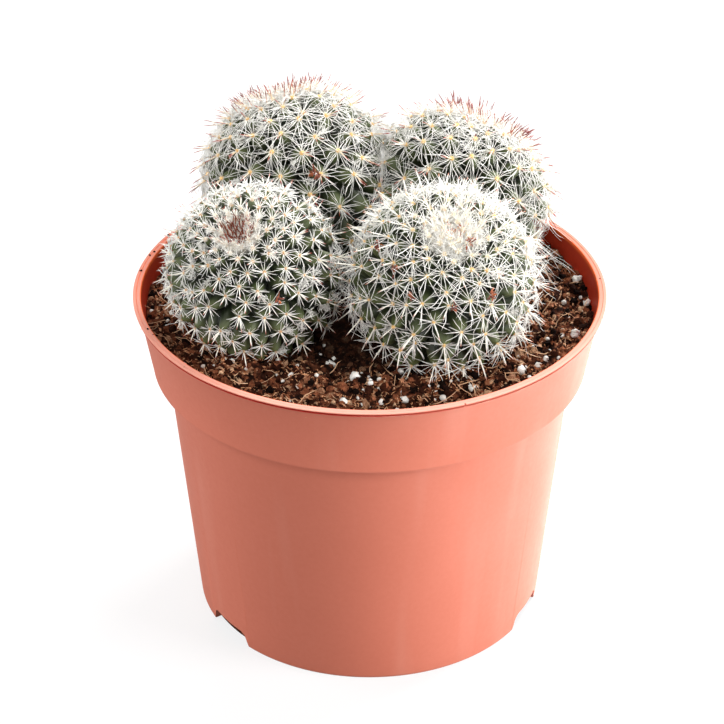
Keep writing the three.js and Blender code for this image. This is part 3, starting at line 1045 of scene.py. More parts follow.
    def paint_inside_shade(self, pot: Piece, steepest: float = 0.2) -> None:
        """Gives the faces inside the wall the inside finish, which paints them darker as shade.

        Args:
            pot: the pot.
            steepest: how far inwards a face has to point, as a share.
        """
        pot.data.materials.append(PotInsideShade().material())
        for face in pot.data.polygons:
            middle, normal = face.center, face.normal
            inward = -(normal.x * middle.x + normal.y * middle.y)
            if (
                middle.z > self.collar_foot_height
                and inward > steepest * math.hypot(middle.x, middle.y)
            ):
                face.material_index = 1


# ------------------------------------------------------------------ the soil


@dataclass(frozen=True)
class FibreKind:
    """One kind of root fibre, with lengths and radii in millimetres."""

    name: str
    count: int
    lengths: Span
    radii: Span
    bend: float
    finish: SpineFinish


@dataclass
class SoilBed:
    """Peat with root fibres and perlite, filling the pot to just under its lip.

    The heap, the bumps and the sizes of crumbs and grains are in millimetres.
    """

    pot: NurseryPot
    level: float = 90.9 * MM
    sides: int = 340
    ring_step: float = 0.8 * MM
    wall_gap: float = 0.15 * MM
    foot_gap: float = 0.3 * MM
    heap_place: tuple[float, float] = (-50, 8)
    heap_spread: float = 22
    heap_height: float = 2.2
    # the width of each size of bump, its layer of the noise and its height
    bumps: tuple[tuple[float, ...], ...] = ((9, 0.5, 1.8), (3.2, 7.5, 1.2), (1.3, 3.1, 0.8))
    crumbs: int = 2000
    least_crumb: float = 0.18
    crumb_range: float = 0.95
    palest_crumb: float = 0.9
    grit: int = 3400
    grit_sizes: Span = (0.12, 0.34)
    fibre_kinds: tuple[FibreKind, ...] = (
        FibreKind("peat_curls", 2000, (0.4, 1.5), (0.07, 0.15), 0.9, RUST_FIBRE),
        FibreKind("root_fibres", 300, (2, 8), (0.07, 0.16), 0.5, ROOT_TAN),
    )
    fibre_bare: float = 0.58
    lobes: int = 3
    small_grains: int = 210
    small_grain_sizes: Span = (0.25, 0.65)
    speck_sizes: Span = (0.16, 0.38)
    speck_azimuths: tuple[float, ...] = (-117, -108, -106, -98, -69, -66, -49, 94)
    seed: int = 23

    def height(self, x: float, y: float) -> float:
        """The height of the soil's top at a place."""
        away = math.hypot(x / MM - self.heap_place[0], y / MM - self.heap_place[1])
        rise = self.heap_height * math.exp(-((away / self.heap_spread) ** 2))
        for width, layer, swing in self.bumps:
            rise += swing * noise.noise((x / width / MM, y / width / MM, layer))
        return self.level + rise * MM

    def on_top(self, x: Array, y: Array) -> Array:
        """The places on the soil's top above x and y."""
        return np.stack([x, y, [self.height(a, b) for a, b in zip(x, y)]], -1)

    def edge_radius(self) -> float:
        """The radius of the wall's inside at the soil's mean height, less a gap."""
        pot = self.pot
        low_height = pot.collar_foot_height + pot.wall + 1 * MM
        share = (self.level - low_height) / (pot.height - low_height)
        low = pot.collar_foot - pot.wall
        return low + share * (pot.rim_radius - pot.lip_width - low) - self.wall_gap

    def bed(self) -> Piece:
        """Models the filling: a turned block whose top is then heaped and broken up."""
        pot, edge, gap = self.pot, self.edge_radius(), self.foot_gap
        foot = pot.collar_foot_height
        rings = [
            (pot.base_radius - pot.wall - gap, pot.floor + gap),
            (pot.shoulder - pot.wall - gap, foot),
            (pot.collar_foot - pot.wall - gap, foot + pot.wall + 1.5 * MM),
            (edge - gap, self.level - 4 * MM),
            (edge, self.level),
        ]
        count = int(edge / self.ring_step)
        rings += [(edge * (1 - i / count), self.level) for i in range(1, count)]
        bed = start_turning(self.sides, rings)
        bpy.ops.mesh.merge(type="CENTER")
        stop_editing()
        bpy.ops.object.transform_apply()
        points = points_of(bed)
        top = points[:, 2] > self.level - 0.1 * MM
        points[top] = self.on_top(points[top, 0], points[top, 1])
        set_points(bed, points)
        bed.data.polygons.foreach_set("use_smooth", np.ones(len(bed.data.polygons), bool))
        bed.name = "soil_bed"
        return bed

    def strewn(self, draw: Draw, count: int, inset: float, bare: float = 0.35) -> Array:
        """Random places on the soil's top, none of them in its middle.

        Args:
            draw: the random number generator.
            count: how many.
            inset: how far they keep from the wall.
            bare: the middle's radius, as a share of the whole.

        Returns:
            Their positions.
        """
        angles = draw.uniform(0, math.tau, count)
        radii = (self.edge_radius() - inset) * np.sqrt(draw.uniform(bare * bare, 1, count))
        return self.on_top(radii * np.cos(angles), radii * np.sin(angles))

    def pebbles(
        self, name: str, places: Array, sizes: Array, template: Template, seed: int,
        smooth: bool = True, palest: float = 1.0,
    ) -> Piece:
        """Makes one piece of crumbs or grains, each turned at random and pressed into the soil.

        Args:
            name: the piece's name.
            places: where they lie.
            sizes: their radii.
            template: the shape to copy.
            seed: added to the soil's own, for their turns.
            smooth: whether they are shaded smoothly.
            palest: the palest colour's mark, from 0 to 1.

        Returns:
            The piece.
        """
        draw = np.random.default_rng(self.seed + seed)
        axes = unit(draw.normal(size=places.shape))
        lengths = sizes * draw.uniform(0.4, 1.3, len(sizes))
        marks = palest * draw.random(len(sizes))
        roots = places + np.array([0, 0, 0.25]) * sizes[:, None]
        batch = Copies(roots, axes, any_sides(axes, draw), lengths, sizes)
        return batch.mesh(name, template, self.seed + seed, marks, smooth)

    def dress(self, piece: Piece, finish: Finish) -> None:
        """Gives a piece of the soil its finish."""
        dress(piece, finish, "soil")

    def build(self) -> None:
        """Models the bed, its crumbs, its fibres, its perlite and the specks on the pot's lip."""
        self.dress(self.bed(), BED_PEAT)
        draw = np.random.default_rng(self.seed)
        for number in range(4):
            name = f"peat_crumbs_{number + 1}"
            places = self.strewn(draw, self.crumbs, 0.7 * MM)
            sizes = (self.least_crumb + self.crumb_range * draw.random(len(places)) ** 4) * MM
            chip, palest = Template.chip(number), self.palest_crumb
            crumbs = self.pebbles(name, places, sizes, chip, number, False, palest)
            self.dress(crumbs, CRUMB_PEAT)
        for number in range(2):
            name = f"peat_grit_{number + 1}"
            places = self.strewn(draw, self.grit, 0.5 * MM)
            sizes = draw.uniform(*self.grit_sizes, len(places)) * MM
            chip = Template.chip(5 + number)
            self.dress(self.pebbles(name, places, sizes, chip, 9 + number, False), CRUMB_PEAT)
        self.build_fibres(draw)
        self.build_perlite(draw)
        self.build_specks(draw)

    def build_fibres(self, draw: Draw) -> None:
        """Models the root fibres on the soil: short rusty curls, and longer tan ones."""
        sizes = [
            [draw.uniform(*span, kind.count) * MM for span in (kind.lengths, kind.radii)]
            for kind in self.fibre_kinds
        ]
        needle = Template.needle(4, [(0, 0.7), (0.25, 1), (0.5, 0.9), (0.75, 0.8), (1, 0)])
        for kind, (lengths, radii) in zip(self.fibre_kinds, sizes):
            places = self.strewn(draw, kind.count, 2.5 * MM, self.fibre_bare)
            axes = draw.normal(size=places.shape) * np.array([1, 1, 0.3])
            axes[:, 2] = np.abs(axes[:, 2])
            axes = unit(axes)
            across = np.array([0, 0, 1.0]) + 0.5 * draw.normal(size=places.shape)
            batch = Copies(
                places + np.array([0, 0, 0.3 * MM]), axes, unit(np.cross(axes, across)),
                lengths, radii, draw.uniform(-kind.bend, kind.bend, kind.count),
                draw.uniform(0, 0.08, kind.count),
            )
            self.dress(batch.mesh(kind.name, needle, self.seed), kind.finish)

    def build_specks(self, draw: Draw) -> None:
        """Models the specks of soil that lie on the pot's lip."""
        azimuths = np.radians(self.speck_azimuths)
        radii = self.pot.rim_radius - draw.uniform(0.3, 0.8, len(azimuths)) * self.pot.lip_width
        heights = np.full(len(radii), self.pot.height)
        places = np.stack([radii * np.sin(azimuths), -radii * np.cos(azimuths), heights], -1)
        sizes = draw.uniform(*self.speck_sizes, len(radii)) * MM
        specks = self.pebbles("rim_specks", places, sizes, Template.chip(3), 7, False, 0.8)
        self.dress(specks, CRUMB_PEAT)

    def build_perlite(self, draw: Draw) -> None:
        """Models the white grains: the larger ones where they show, and small ones all over."""
        shown = (
            # azimuth from the front, distance from the axis and radius
            (-50, 47.8, 0.9), (-53, 52.2, 0.5), (-48, 53, 0.7), (-36, 42, 0.4), (-30, 42, 0.7),
            (-75, 53, 0.7), (-22, 29.5, 0.7), (-19, 31, 0.9), (-6, 38, 1.2), (-3, 40, 0.7),
            (-2, 43.5, 0.5), (0, 41.6, 0.8), (3, 43.3, 0.5), (-4, 46, 0.5), (-8, 50, 1.2),
            (3, 51.3, 0.8), (11, 48.5, 1.3), (11, 45.5, 0.8), (13, 35, 0.9), (19, 51, 0.6),
            (22, 51, 0.8), (33, 50, 1.0), (33, 48, 0.7), (50, 52.7, 1.6), (56, 54, 1.1),
            (59, 55, 0.9), (65, 49, 0.7), (71, 51, 0.8), (75, 58, 1.3), (93, 60.4, 1.2),
            (92, 54, 0.9), (103, 59.8, 1.2), (150, 50, 1.4), (-150, 52, 1.2), (-120, 55, 1.3),
            (172, 58, 1.1),
        )
        table = np.repeat(np.array(shown), self.lobes, 0)
        angles, radii = np.radians(table[:, 0]), table[:, 1] * MM
        places = self.on_top(radii * np.sin(angles), -radii * np.cos(angles))
        sizes = table[:, 2] * MM * draw.uniform(0.55, 0.9, len(table))
        places += 0.35 * sizes[:, None] * draw.normal(size=places.shape)
        places[:, 2] += 0.3 * sizes
        grain = Template.pebble(3, 0.22, 7)
        self.dress(self.pebbles("perlite_grains", places, sizes, grain, 5), Perlite())
        places = self.strewn(draw, self.small_grains, 1.2 * MM)
        sizes = draw.uniform(*self.small_grain_sizes, len(places)) * MM
        grain = Template.pebble(1, 0.15, 8)
        self.dress(self.pebbles("perlite_grit", places, sizes, grain, 6), Perlite())


# ------------------------------------------------------------------ the heads


class Coat(Enum):
    """The kinds of spine coat on the four heads."""

    SHORT = "short white stars, the tubercles showing between them"
    STOUT = "longer, stouter white spines with orange tips"
    HAIRY = "long crossing white hairs with red-tipped spines among them"


@dataclass(frozen=True)
class SpineCoat:
    """How many spines each areole carries, and how long, stout and bent they are.

    The spreads are the shares of the usual length and radius that single spines have.
    """

    radials: int
    radial_length: float
    radial_radius: float
    radial_lift: float
    curl: float
    waviness: float
    centrals: float
    young_centrals: float
    central_length: float
    central_radius: float
    central_finish: SpineFinish
    felt: Felt
    areole: float
    radial_spread: Span = (0.65, 1.18)
    central_spread: Span = (0.7, 1.15)


COATS = {
    Coat.SHORT: SpineCoat(
        radials=15, radial_length=3.7 * MM, radial_radius=0.13 * MM, radial_lift=0.3,
        curl=0.14, waviness=0.012, centrals=1.2, young_centrals=1.8, central_length=4.3 * MM,
        central_radius=0.17 * MM, central_finish=CENTRAL_BROWN, felt=TAN_FELT,
        areole=0.36 * MM,
    ),
    Coat.STOUT: SpineCoat(
        radials=14, radial_length=6.0 * MM, radial_radius=0.13 * MM, radial_lift=0.28,
        curl=0.12, waviness=0.02, centrals=1.1, young_centrals=0.5, central_length=6.0 * MM,
        central_radius=0.2 * MM, central_finish=CENTRAL_ORANGE, felt=YELLOW_FELT,
        areole=0.42 * MM,
    ),
    Coat.HAIRY: SpineCoat(
        radials=25, radial_length=6.9 * MM, radial_radius=0.105 * MM, radial_lift=0.13,
        curl=0.24, waviness=0.045, centrals=1.8, young_centrals=2.2, central_length=5.4 * MM,
        central_radius=0.15 * MM, central_finish=CENTRAL_RED, felt=YELLOW_FELT,
        areole=0.55 * MM,
    ),
}


@dataclass(frozen=True)
class Strays:
    """A group of long fine hairs that stand off one side of a head and lean one way."""

    side: tuple[float, float, float]
    count: int
    length: float
    lean: tuple[float, float, float] = (0, 0, 0)
    curl: float = 0.4
    spread: float = 0.5


@dataclass(frozen=True)
class CrownLook:
    """The wool and the young spines in the middle of a head's top.

    Angles are in radians from the crown's middle: wool_to is where the wool ends, spine_reach
    where the young spines end, and bare where the tubercles with full spines start.
    """

    wool_to: float
    hairs: int
    hair_length: float
    spines: int
    spine_reach: float
    spine_length: float
    spine_radius: float
    spine_finish: SpineFinish
    bare: float = 0.0
    bud: float = 0.01


@dataclass
class HeadForm:
    """How far a head's surface lies from its centre, in each direction."""

    centre: Array
    crown: Array
    radius: float
    stretch: float
    flatness: float
    dimple: float = 0.09
    dimple_spread: float = 0.3
    gap: float = 0.01 * MM
    neighbours: list["HeadForm"] = field(default_factory=list)

    def reach(self, directions: Array) -> Array:
        """The distance from the centre to the tubercles' tips in each direction."""
        cosine = np.clip(directions @ self.crown, -1, 1)
        sine = np.sqrt(1 - cosine * cosine)
        stretch = np.where(cosine > 0, self.flatness, self.stretch)
        dimple = self.dimple * np.exp(-((np.arccos(cosine) / self.dimple_spread) ** 2))
        return (1 - dimple) * self.radius / np.hypot(sine, cosine / stretch)

    def depth_of(self, points: Array) -> Array:
        """How far inside the tips each point lies; negative outside them."""
        out = points - self.centre
        return self.reach(unit(out)) - np.linalg.norm(out, axis=-1)

    def surface(self, directions: Array) -> Array:
        """The point at the tips' height in each direction, pressed in where a neighbour stands."""
        points = self.centre + directions * self.reach(directions)[:, None]
        for neighbour in self.neighbours:
            press = np.maximum(neighbour.depth_of(points) + self.gap, 0)
            points = points - directions * press[:, None]
        return points

    def pressed(self, directions: Array) -> Array:
        """How far each direction's tip would lie inside a neighbour."""
        points = self.centre + directions * self.reach(directions)[:, None]
        depths = [np.maximum(neighbour.depth_of(points), 0) for neighbour in self.neighbours]
        return np.max(depths, 0)

    def angle_from_crown(self, directions: Array) -> Array:
        """The angle between each direction and the crown's."""
        return np.arccos(np.clip(directions @ self.crown, -1, 1))

    def tilted(self, local: Array) -> Array:
        """Directions about +Z turned to lie about the crown."""
        tilt = np.array(Vector((0, 0, 1)).rotation_difference(Vector(self.crown)).to_matrix())
        return local @ tilt.T

    def spiral(self, count: int, crowding: float) -> Array:
        """Directions on a golden-angle spiral, closer together at the crown.

        Args:
            count: how many a whole head has.
            crowding: 1 for even spacing, more for a closer crown.

        Returns:
            Directions of length one.
        """
        number = np.arange(count)
        cosine = 1 - 2 * ((number + 0.5) / count) ** crowding
        sine = np.sqrt(1 - cosine * cosine)
        turn = number * GOLDEN_ANGLE
        return self.tilted(np.stack([sine * np.cos(turn), sine * np.sin(turn), cosine], -1))


@dataclass
class CactusHead:
    """One head: its flesh with tubercles, and the areoles, spines, wool and hairs on it.

    No areole is lower over the soil than lowest_areole, nor further inside a neighbour than
    most_pressed.
    """

    name: str
    form: HeadForm
    soil_level: float
    coat: SpineCoat
    crown: CrownLook
    seed: int
    tubercles: int = 214
    crowding: float = 1.85
    jitter: float = 0.035
    tubercle_depth: float = 5.4 * MM
    tubercle_shape: float = 1.7
    tubercle_spacing: float = 7 * MM
    tubercle_limits: Span = (2.5 * MM, 8 * MM)
    lowest_areole: float = 2.2 * MM
    most_pressed: float = 0.7 * MM
    tufts: int = 20
    hairs_per_tuft: int = 30
    wool_radius: float = 0.085 * MM
    stray_radius: float = 0.07 * MM
    stray_groups: tuple[Strays, ...] = ()
    remnants: tuple[tuple[float, float, float], ...] = ()
    petals: int = 12

    def __post_init__(self) -> None:
        """Places the tubercles' tips."""
        self.draw = np.random.default_rng(self.seed)
        directions = self.form.spiral(self.tubercles, self.crowding)
        angles = self.form.angle_from_crown(directions)
        wander = self.jitter * smooth_step(angles, 0.1, 0.8)[:, None]
        directions = unit(directions + wander * self.draw.normal(size=directions.shape))
        self.all_tips = self.form.surface(directions)
        shown = self.all_tips[:, 2] > self.soil_level + self.lowest_areole
        shown &= angles > self.crown.bare
        shown &= self.form.pressed(directions) < self.most_pressed
        self.tip_directions, self.tips = directions[shown], self.all_tips[shown]
        self.tip_angles = self.form.angle_from_crown(self.tip_directions)
        self.young = 1 - smooth_step(self.tip_angles, 0.12, 0.8)
        self.away = unit(self.tip_directions * np.cos(self.tip_angles)[:, None] - self.form.crown)
        self.across = np.cross(self.tip_directions, self.away)

    def flat(self, chosen: Array, turns: Array) -> Array:
        """Directions square to the chosen tips', at a turn from away to across."""
        turns = turns[:, None]
        return np.cos(turns) * self.away[chosen] + np.sin(turns) * self.across[chosen]

    def nearest_tips(self, points: Array, count: int) -> Array:
        """The distances from each point to its nearest tips.

        Args:
            points: the points.
            count: how many tips to find for each.

        Returns:
            One row of rising distances for each point.
        """
        tree = KDTree(len(self.all_tips))
        for i, tip in enumerate(self.all_tips):
            tree.insert(tip, i)
        tree.balance()
        return np.array([[hit[2] for hit in tree.find_n(point, count)] for point in points])

    def flesh(self) -> Piece:
        """Models the head's body: a ball drawn into tubercles between their furrows."""
        clear_selection()
        bpy.ops.mesh.primitive_ico_sphere_add(subdivisions=7, radius=1)
        body = bpy.context.object
        directions = unit(points_of(body))
        outer = self.form.surface(directions)
        near = self.nearest_tips(outer, 2)
        share = 2 * near[:, 0] / near.sum(1)
        height = 1 - np.minimum(share, 1) ** self.tubercle_shape
        angles = self.form.angle_from_crown(directions)
        spacing = np.clip(near.sum(1), *self.tubercle_limits) / self.tubercle_spacing
        depth = self.tubercle_depth * spacing * (0.5 + 0.5 * smooth_step(angles, 0.05, 0.5))
        depth *= 1 + 0.35 * smooth_step(near[:, 0], 3 * MM, 5 * MM)
        depth *= 1 - smooth_step(self.form.pressed(directions), 0, 1.5 * MM)
        set_points(body, outer - directions * (depth * (1 - height))[:, None])
        wool = 1 - smooth_step(angles, self.crown.wool_to * 0.6, self.crown.wool_to)
        wool *= smooth_step(angles, 0, self.crown.bud)
        for label, values in (("tubercle", height), ("wool", wool)):
            attribute = body.data.attributes.new(label, "FLOAT", "POINT")
            attribute.data.foreach_set("value", values.astype(np.float32))
        body.data.polygons.foreach_set("use_smooth", np.ones(len(body.data.polygons), bool))
        body.name = f"{self.name}_flesh"
        return body

    def dress(self, piece: Piece, finish: Finish) -> None:
        """Gives a piece of this head its finish."""
        dress(piece, finish, self.name)

    def copies(self, kind: str, batch: Copies, sides: int, rings: list[Ring]) -> Piece:
        """Makes a piece of this head from copies of a needle.

        Args:
            kind: the end of the piece's name.
            batch: where the copies go.
            sides: how many sides the needle has.
            rings: height and radius of each of its rings.

        Returns:
            The piece.
        """
        return batch.mesh(f"{self.name}_{kind}", Template.needle(sides, rings), self.seed)

    def build(self) -> None:
        """Models the head and dresses it."""
        self.dress(self.flesh(), Flesh())
        self.dress(self.areoles(), self.coat.felt)
        self.dress(self.radial_spines(), RADIAL_WHITE)
        self.dress(self.central_spines(), self.coat.central_finish)
        self.dress(self.crown_wool(), HAIR_WHITE)
        self.dress(self.crown_spines(), self.crown.spine_finish)
        self.dress(self.axil_wool(), HAIR_WHITE)
        self.dress(self.strays(), HAIR_WHITE)
        if self.remnants:
            self.dress(self.dry_flowers(), DRY_FLOWER)

    def areoles(self) -> Piece:
        """Models the felted pads at the tubercles' tips."""
        count = len(self.tips)
        sizes = self.coat.areole + (0.12 * self.draw.random(count) + 0.3 * self.young) * MM
        roots = self.tips - 0.1 * MM * self.tip_directions
        batch = Copies(roots, self.tip_directions, self.across, sizes * 0.9, sizes)
        ages = np.clip(1 - self.young + self.draw.normal(0, 0.12, count), 0, 1)
        pad = Template.pebble(1, 0.1, self.seed)
        return batch.mesh(f"{self.name}_areoles", pad, self.seed, ages)

    def radial_spines(self) -> Piece:
        """Models the white spines that spread round each areole."""
        coat, count = self.coat, len(self.tips)
        tip = np.repeat(np.arange(count), coat.radials)
        place = np.tile(np.arange(coat.radials), count)
        turn = (place + self.draw.uniform(-0.4, 0.4, len(place))) * math.tau / coat.radials
        turn += self.draw.uniform(0, math.tau, count)[tip]
        upper = (1 - np.cos(turn)) / 2
        turn += 0.12 * self.draw.normal(size=len(turn))
        young = self.young[tip]
        lift = coat.radial_lift + 0.75 * young + self.draw.normal(0, 0.17, len(tip))
        flat = self.flat(tip, turn)
        outward = self.tip_directions[tip]
        axes = unit(flat * np.cos(lift)[:, None] + outward * np.sin(lift)[:, None])
        bend_to = -outward + 0.9 * np.cross(outward, flat) * self.draw.normal(0, 1, (len(tip), 1))
        sides = unit(bend_to - (bend_to * axes).sum(-1, keepdims=True) * axes)
        lengths = coat.radial_length * (1 + 0.08 * np.cos(turn))
        lengths = lengths * self.draw.uniform(*coat.radial_spread, len(tip))
        lengths *= (1 - 0.35 * young) * (0.9 + 0.2 * self.draw.random(count)[tip])
        batch = Copies(
            self.tips[tip] + flat * 0.22 * MM, axes, sides, lengths,
            coat.radial_radius * (1 - 0.3 * upper) * self.draw.uniform(0.8, 1.2, len(tip)),
            coat.curl * self.draw.uniform(-0.2, 1.3, len(tip)) * (0.6 + 0.8 * upper),
            coat.waviness * self.draw.uniform(0, 1.5, len(tip)),
        )
        rings = [(0, 1.0), (0.3, 0.95), (0.6, 0.8), (0.85, 0.55), (1, 0)]
        return self.copies("radial_spines", batch, 3, rings)

    def central_spines(self) -> Piece:
        """Models the stouter spines that point out of each areole, away from the crown."""
        coat = self.coat
        wanted = coat.centrals + coat.young_centrals * self.young
        spines = np.floor(wanted + self.draw.random(len(self.tips))).astype(int)
        tip = np.repeat(np.arange(len(self.tips)), spines)
        young = self.young[tip]
        lean = (0.3 + 0.45 * self.draw.random(len(tip))) * (1 - 0.6 * young)
        swing = self.draw.normal(0, 0.55 + 0.5 * young, len(tip))
        flat = self.flat(tip, swing)
        outward = self.tip_directions[tip]
        axes = unit(outward * np.cos(lean)[:, None] + flat * np.sin(lean)[:, None])
        spread = self.draw.uniform(*coat.central_spread, len(tip))
        lengths = coat.central_length * spread * (1 - 0.25 * young)
        batch = Copies(
            self.tips[tip], axes, any_sides(axes, self.draw), lengths,
            coat.central_radius * self.draw.uniform(0.8, 1.15, len(tip)) * (1 - 0.25 * young),
            self.draw.uniform(-0.08, 0.08, len(tip)),
        )
        rings = [(0, 1.25), (0.1, 1.0), (0.6, 0.85), (0.85, 0.55), (1, 0)]
        return self.copies("central_spines", batch, 5, rings)

    def scattered(self, count: int, reach: float) -> Array:
        """Random directions about the crown.

        Args:
            count: how many.
            reach: the greatest angle from the crown.

        Returns:
            Directions of length one.
        """
        angle = np.sqrt(self.draw.uniform(0, reach * reach, count))
        turn = self.draw.uniform(0, math.tau, count)
        sine = np.sin(angle)
        local = np.stack([sine * np.cos(turn), sine * np.sin(turn), np.cos(angle)], -1)
        return self.form.tilted(local)

    def curls(self, kind: str, roots: Array, directions: Array, length: float) -> Piece:
        """Makes a piece of short curly hairs.

        Args:
            kind: the end of the piece's name.
            roots: where the hairs start.
            directions: which way they go on the whole.
            length: their usual length.

        Returns:
            The piece.
        """
        axes = unit(directions + 0.8 * self.draw.normal(size=directions.shape))
        count = len(roots)
        batch = Copies(
            roots, axes, any_sides(axes, self.draw), length * self.draw.uniform(0.6, 1.25, count),
            np.full(count, self.wool_radius), self.draw.uniform(-0.6, 0.6, count), 0.08,
        )
        return self.copies(kind, batch, 3, [(0, 1.0), (0.35, 1.0), (0.7, 1.0), (1, 0)])

    def crown_wool(self) -> Piece:
        """Models the curly wool about the crown."""
        look = self.crown
        inner = self.scattered(look.hairs // 2, look.wool_to / 2)
        directions = np.concatenate([inner, self.scattered(look.hairs // 2, look.wool_to)])
        roots = self.form.surface(directions) - 0.9 * MM * directions
        return self.curls("wool", roots, directions, look.hair_length)

    def axil_wool(self) -> Piece:
        """Models small tufts of wool in the furrows between tubercles."""
        chosen = self.draw.choice(len(self.tips), self.tufts, replace=False)
        outward = self.tip_directions[chosen]
        spacing = self.nearest_tips(self.tips[chosen], 2)[:, 1]
        flat = self.flat(chosen, self.draw.uniform(0, math.tau, self.tufts))
        middle = self.tips[chosen] + 0.55 * spacing[:, None] * flat - 1.6 * MM * outward
        tuft = np.repeat(np.arange(self.tufts), self.hairs_per_tuft)
        roots = middle[tuft] + self.draw.normal(0, 0.45 * MM, (len(tuft), 3))
        return self.curls("axil_wool", roots, outward[tuft], 1.7 * MM)

    def crown_spines(self) -> Piece:
        """Models the young spines in the middle of the crown."""
        look = self.crown
        directions = self.scattered(look.spines, look.spine_reach)
        roots = self.form.surface(directions) - 0.6 * MM * directions
        outward = directions - self.form.crown * (directions @ self.form.crown)[:, None]
        lifted = directions + 0.7 * outward + np.array([0, 0, 0.35])
        axes = unit(lifted + 0.3 * self.draw.normal(size=directions.shape))
        count = len(roots)
        batch = Copies(
            roots, axes, any_sides(axes, self.draw),
            look.spine_length * self.draw.uniform(0.7, 1.25, count),
            np.full(count, look.spine_radius), self.draw.uniform(-0.12, 0.12, count),
        )
        rings = [(0, 1.0), (0.5, 1.0), (0.85, 0.75), (1, 0)]
        return self.copies("crown_spines", batch, 4, rings)

    def strays(self) -> Piece:
        """Models the long fine hairs that stand off the head, group by group."""
        rows = []
        for group in self.stray_groups:
            facing = self.tip_directions @ unit(np.array(group.side, float))
            weight = np.maximum(facing, 0) ** 3 + 0.004
            chosen = self.draw.choice(len(self.tips), group.count, p=weight / weight.sum())
            outward = self.tip_directions[chosen]
            wander = group.spread * self.draw.normal(size=outward.shape)
            axes = unit(outward + np.array(group.lean) + wander)
            lengths = group.length * self.draw.uniform(0.55, 1.2, group.count)
            bends = group.curl * self.draw.uniform(-1, 1, group.count)
            rows.append((self.tips[chosen], axes, lengths, bends))
        roots, axes, lengths, bends = (np.concatenate(column) for column in zip(*rows))
        batch = Copies(
            roots, axes, any_sides(axes, self.draw), lengths,
            np.full(len(roots), self.stray_radius), bends,
            self.draw.uniform(0.01, 0.05, len(roots)),
        )
        rings = [(i / 8, 1.0 if i < 5 else 0.8) for i in range(8)] + [(1, 0)]
        return self.copies("stray_hairs", batch, 3, rings)

    def dry_flowers(self) -> Piece:
        """Models the shrivelled flowers that are left between the spines."""
        directions = unit(np.array(self.remnants, float))
        flower = np.repeat(np.arange(len(directions)), self.petals)
        count = len(flower)
        middle = self.form.surface(directions) + 1.2 * MM * directions
        axes = unit(self.draw.normal(size=(count, 3)))
        batch = Copies(
            middle[flower] + self.draw.normal(0, 0.35 * MM, (count, 3)), axes,
            any_sides(axes, self.draw), self.draw.uniform(0.9, 2.0, count) * MM,
            self.draw.uniform(0.12, 0.34, count) * MM, self.draw.uniform(-0.7, 0.7, count),
        )
        rings = [(0, 0.6), (0.3, 1.1), (0.7, 0.9), (1, 0)]
        return self.copies("dry_flowers", batch, 4, rings)


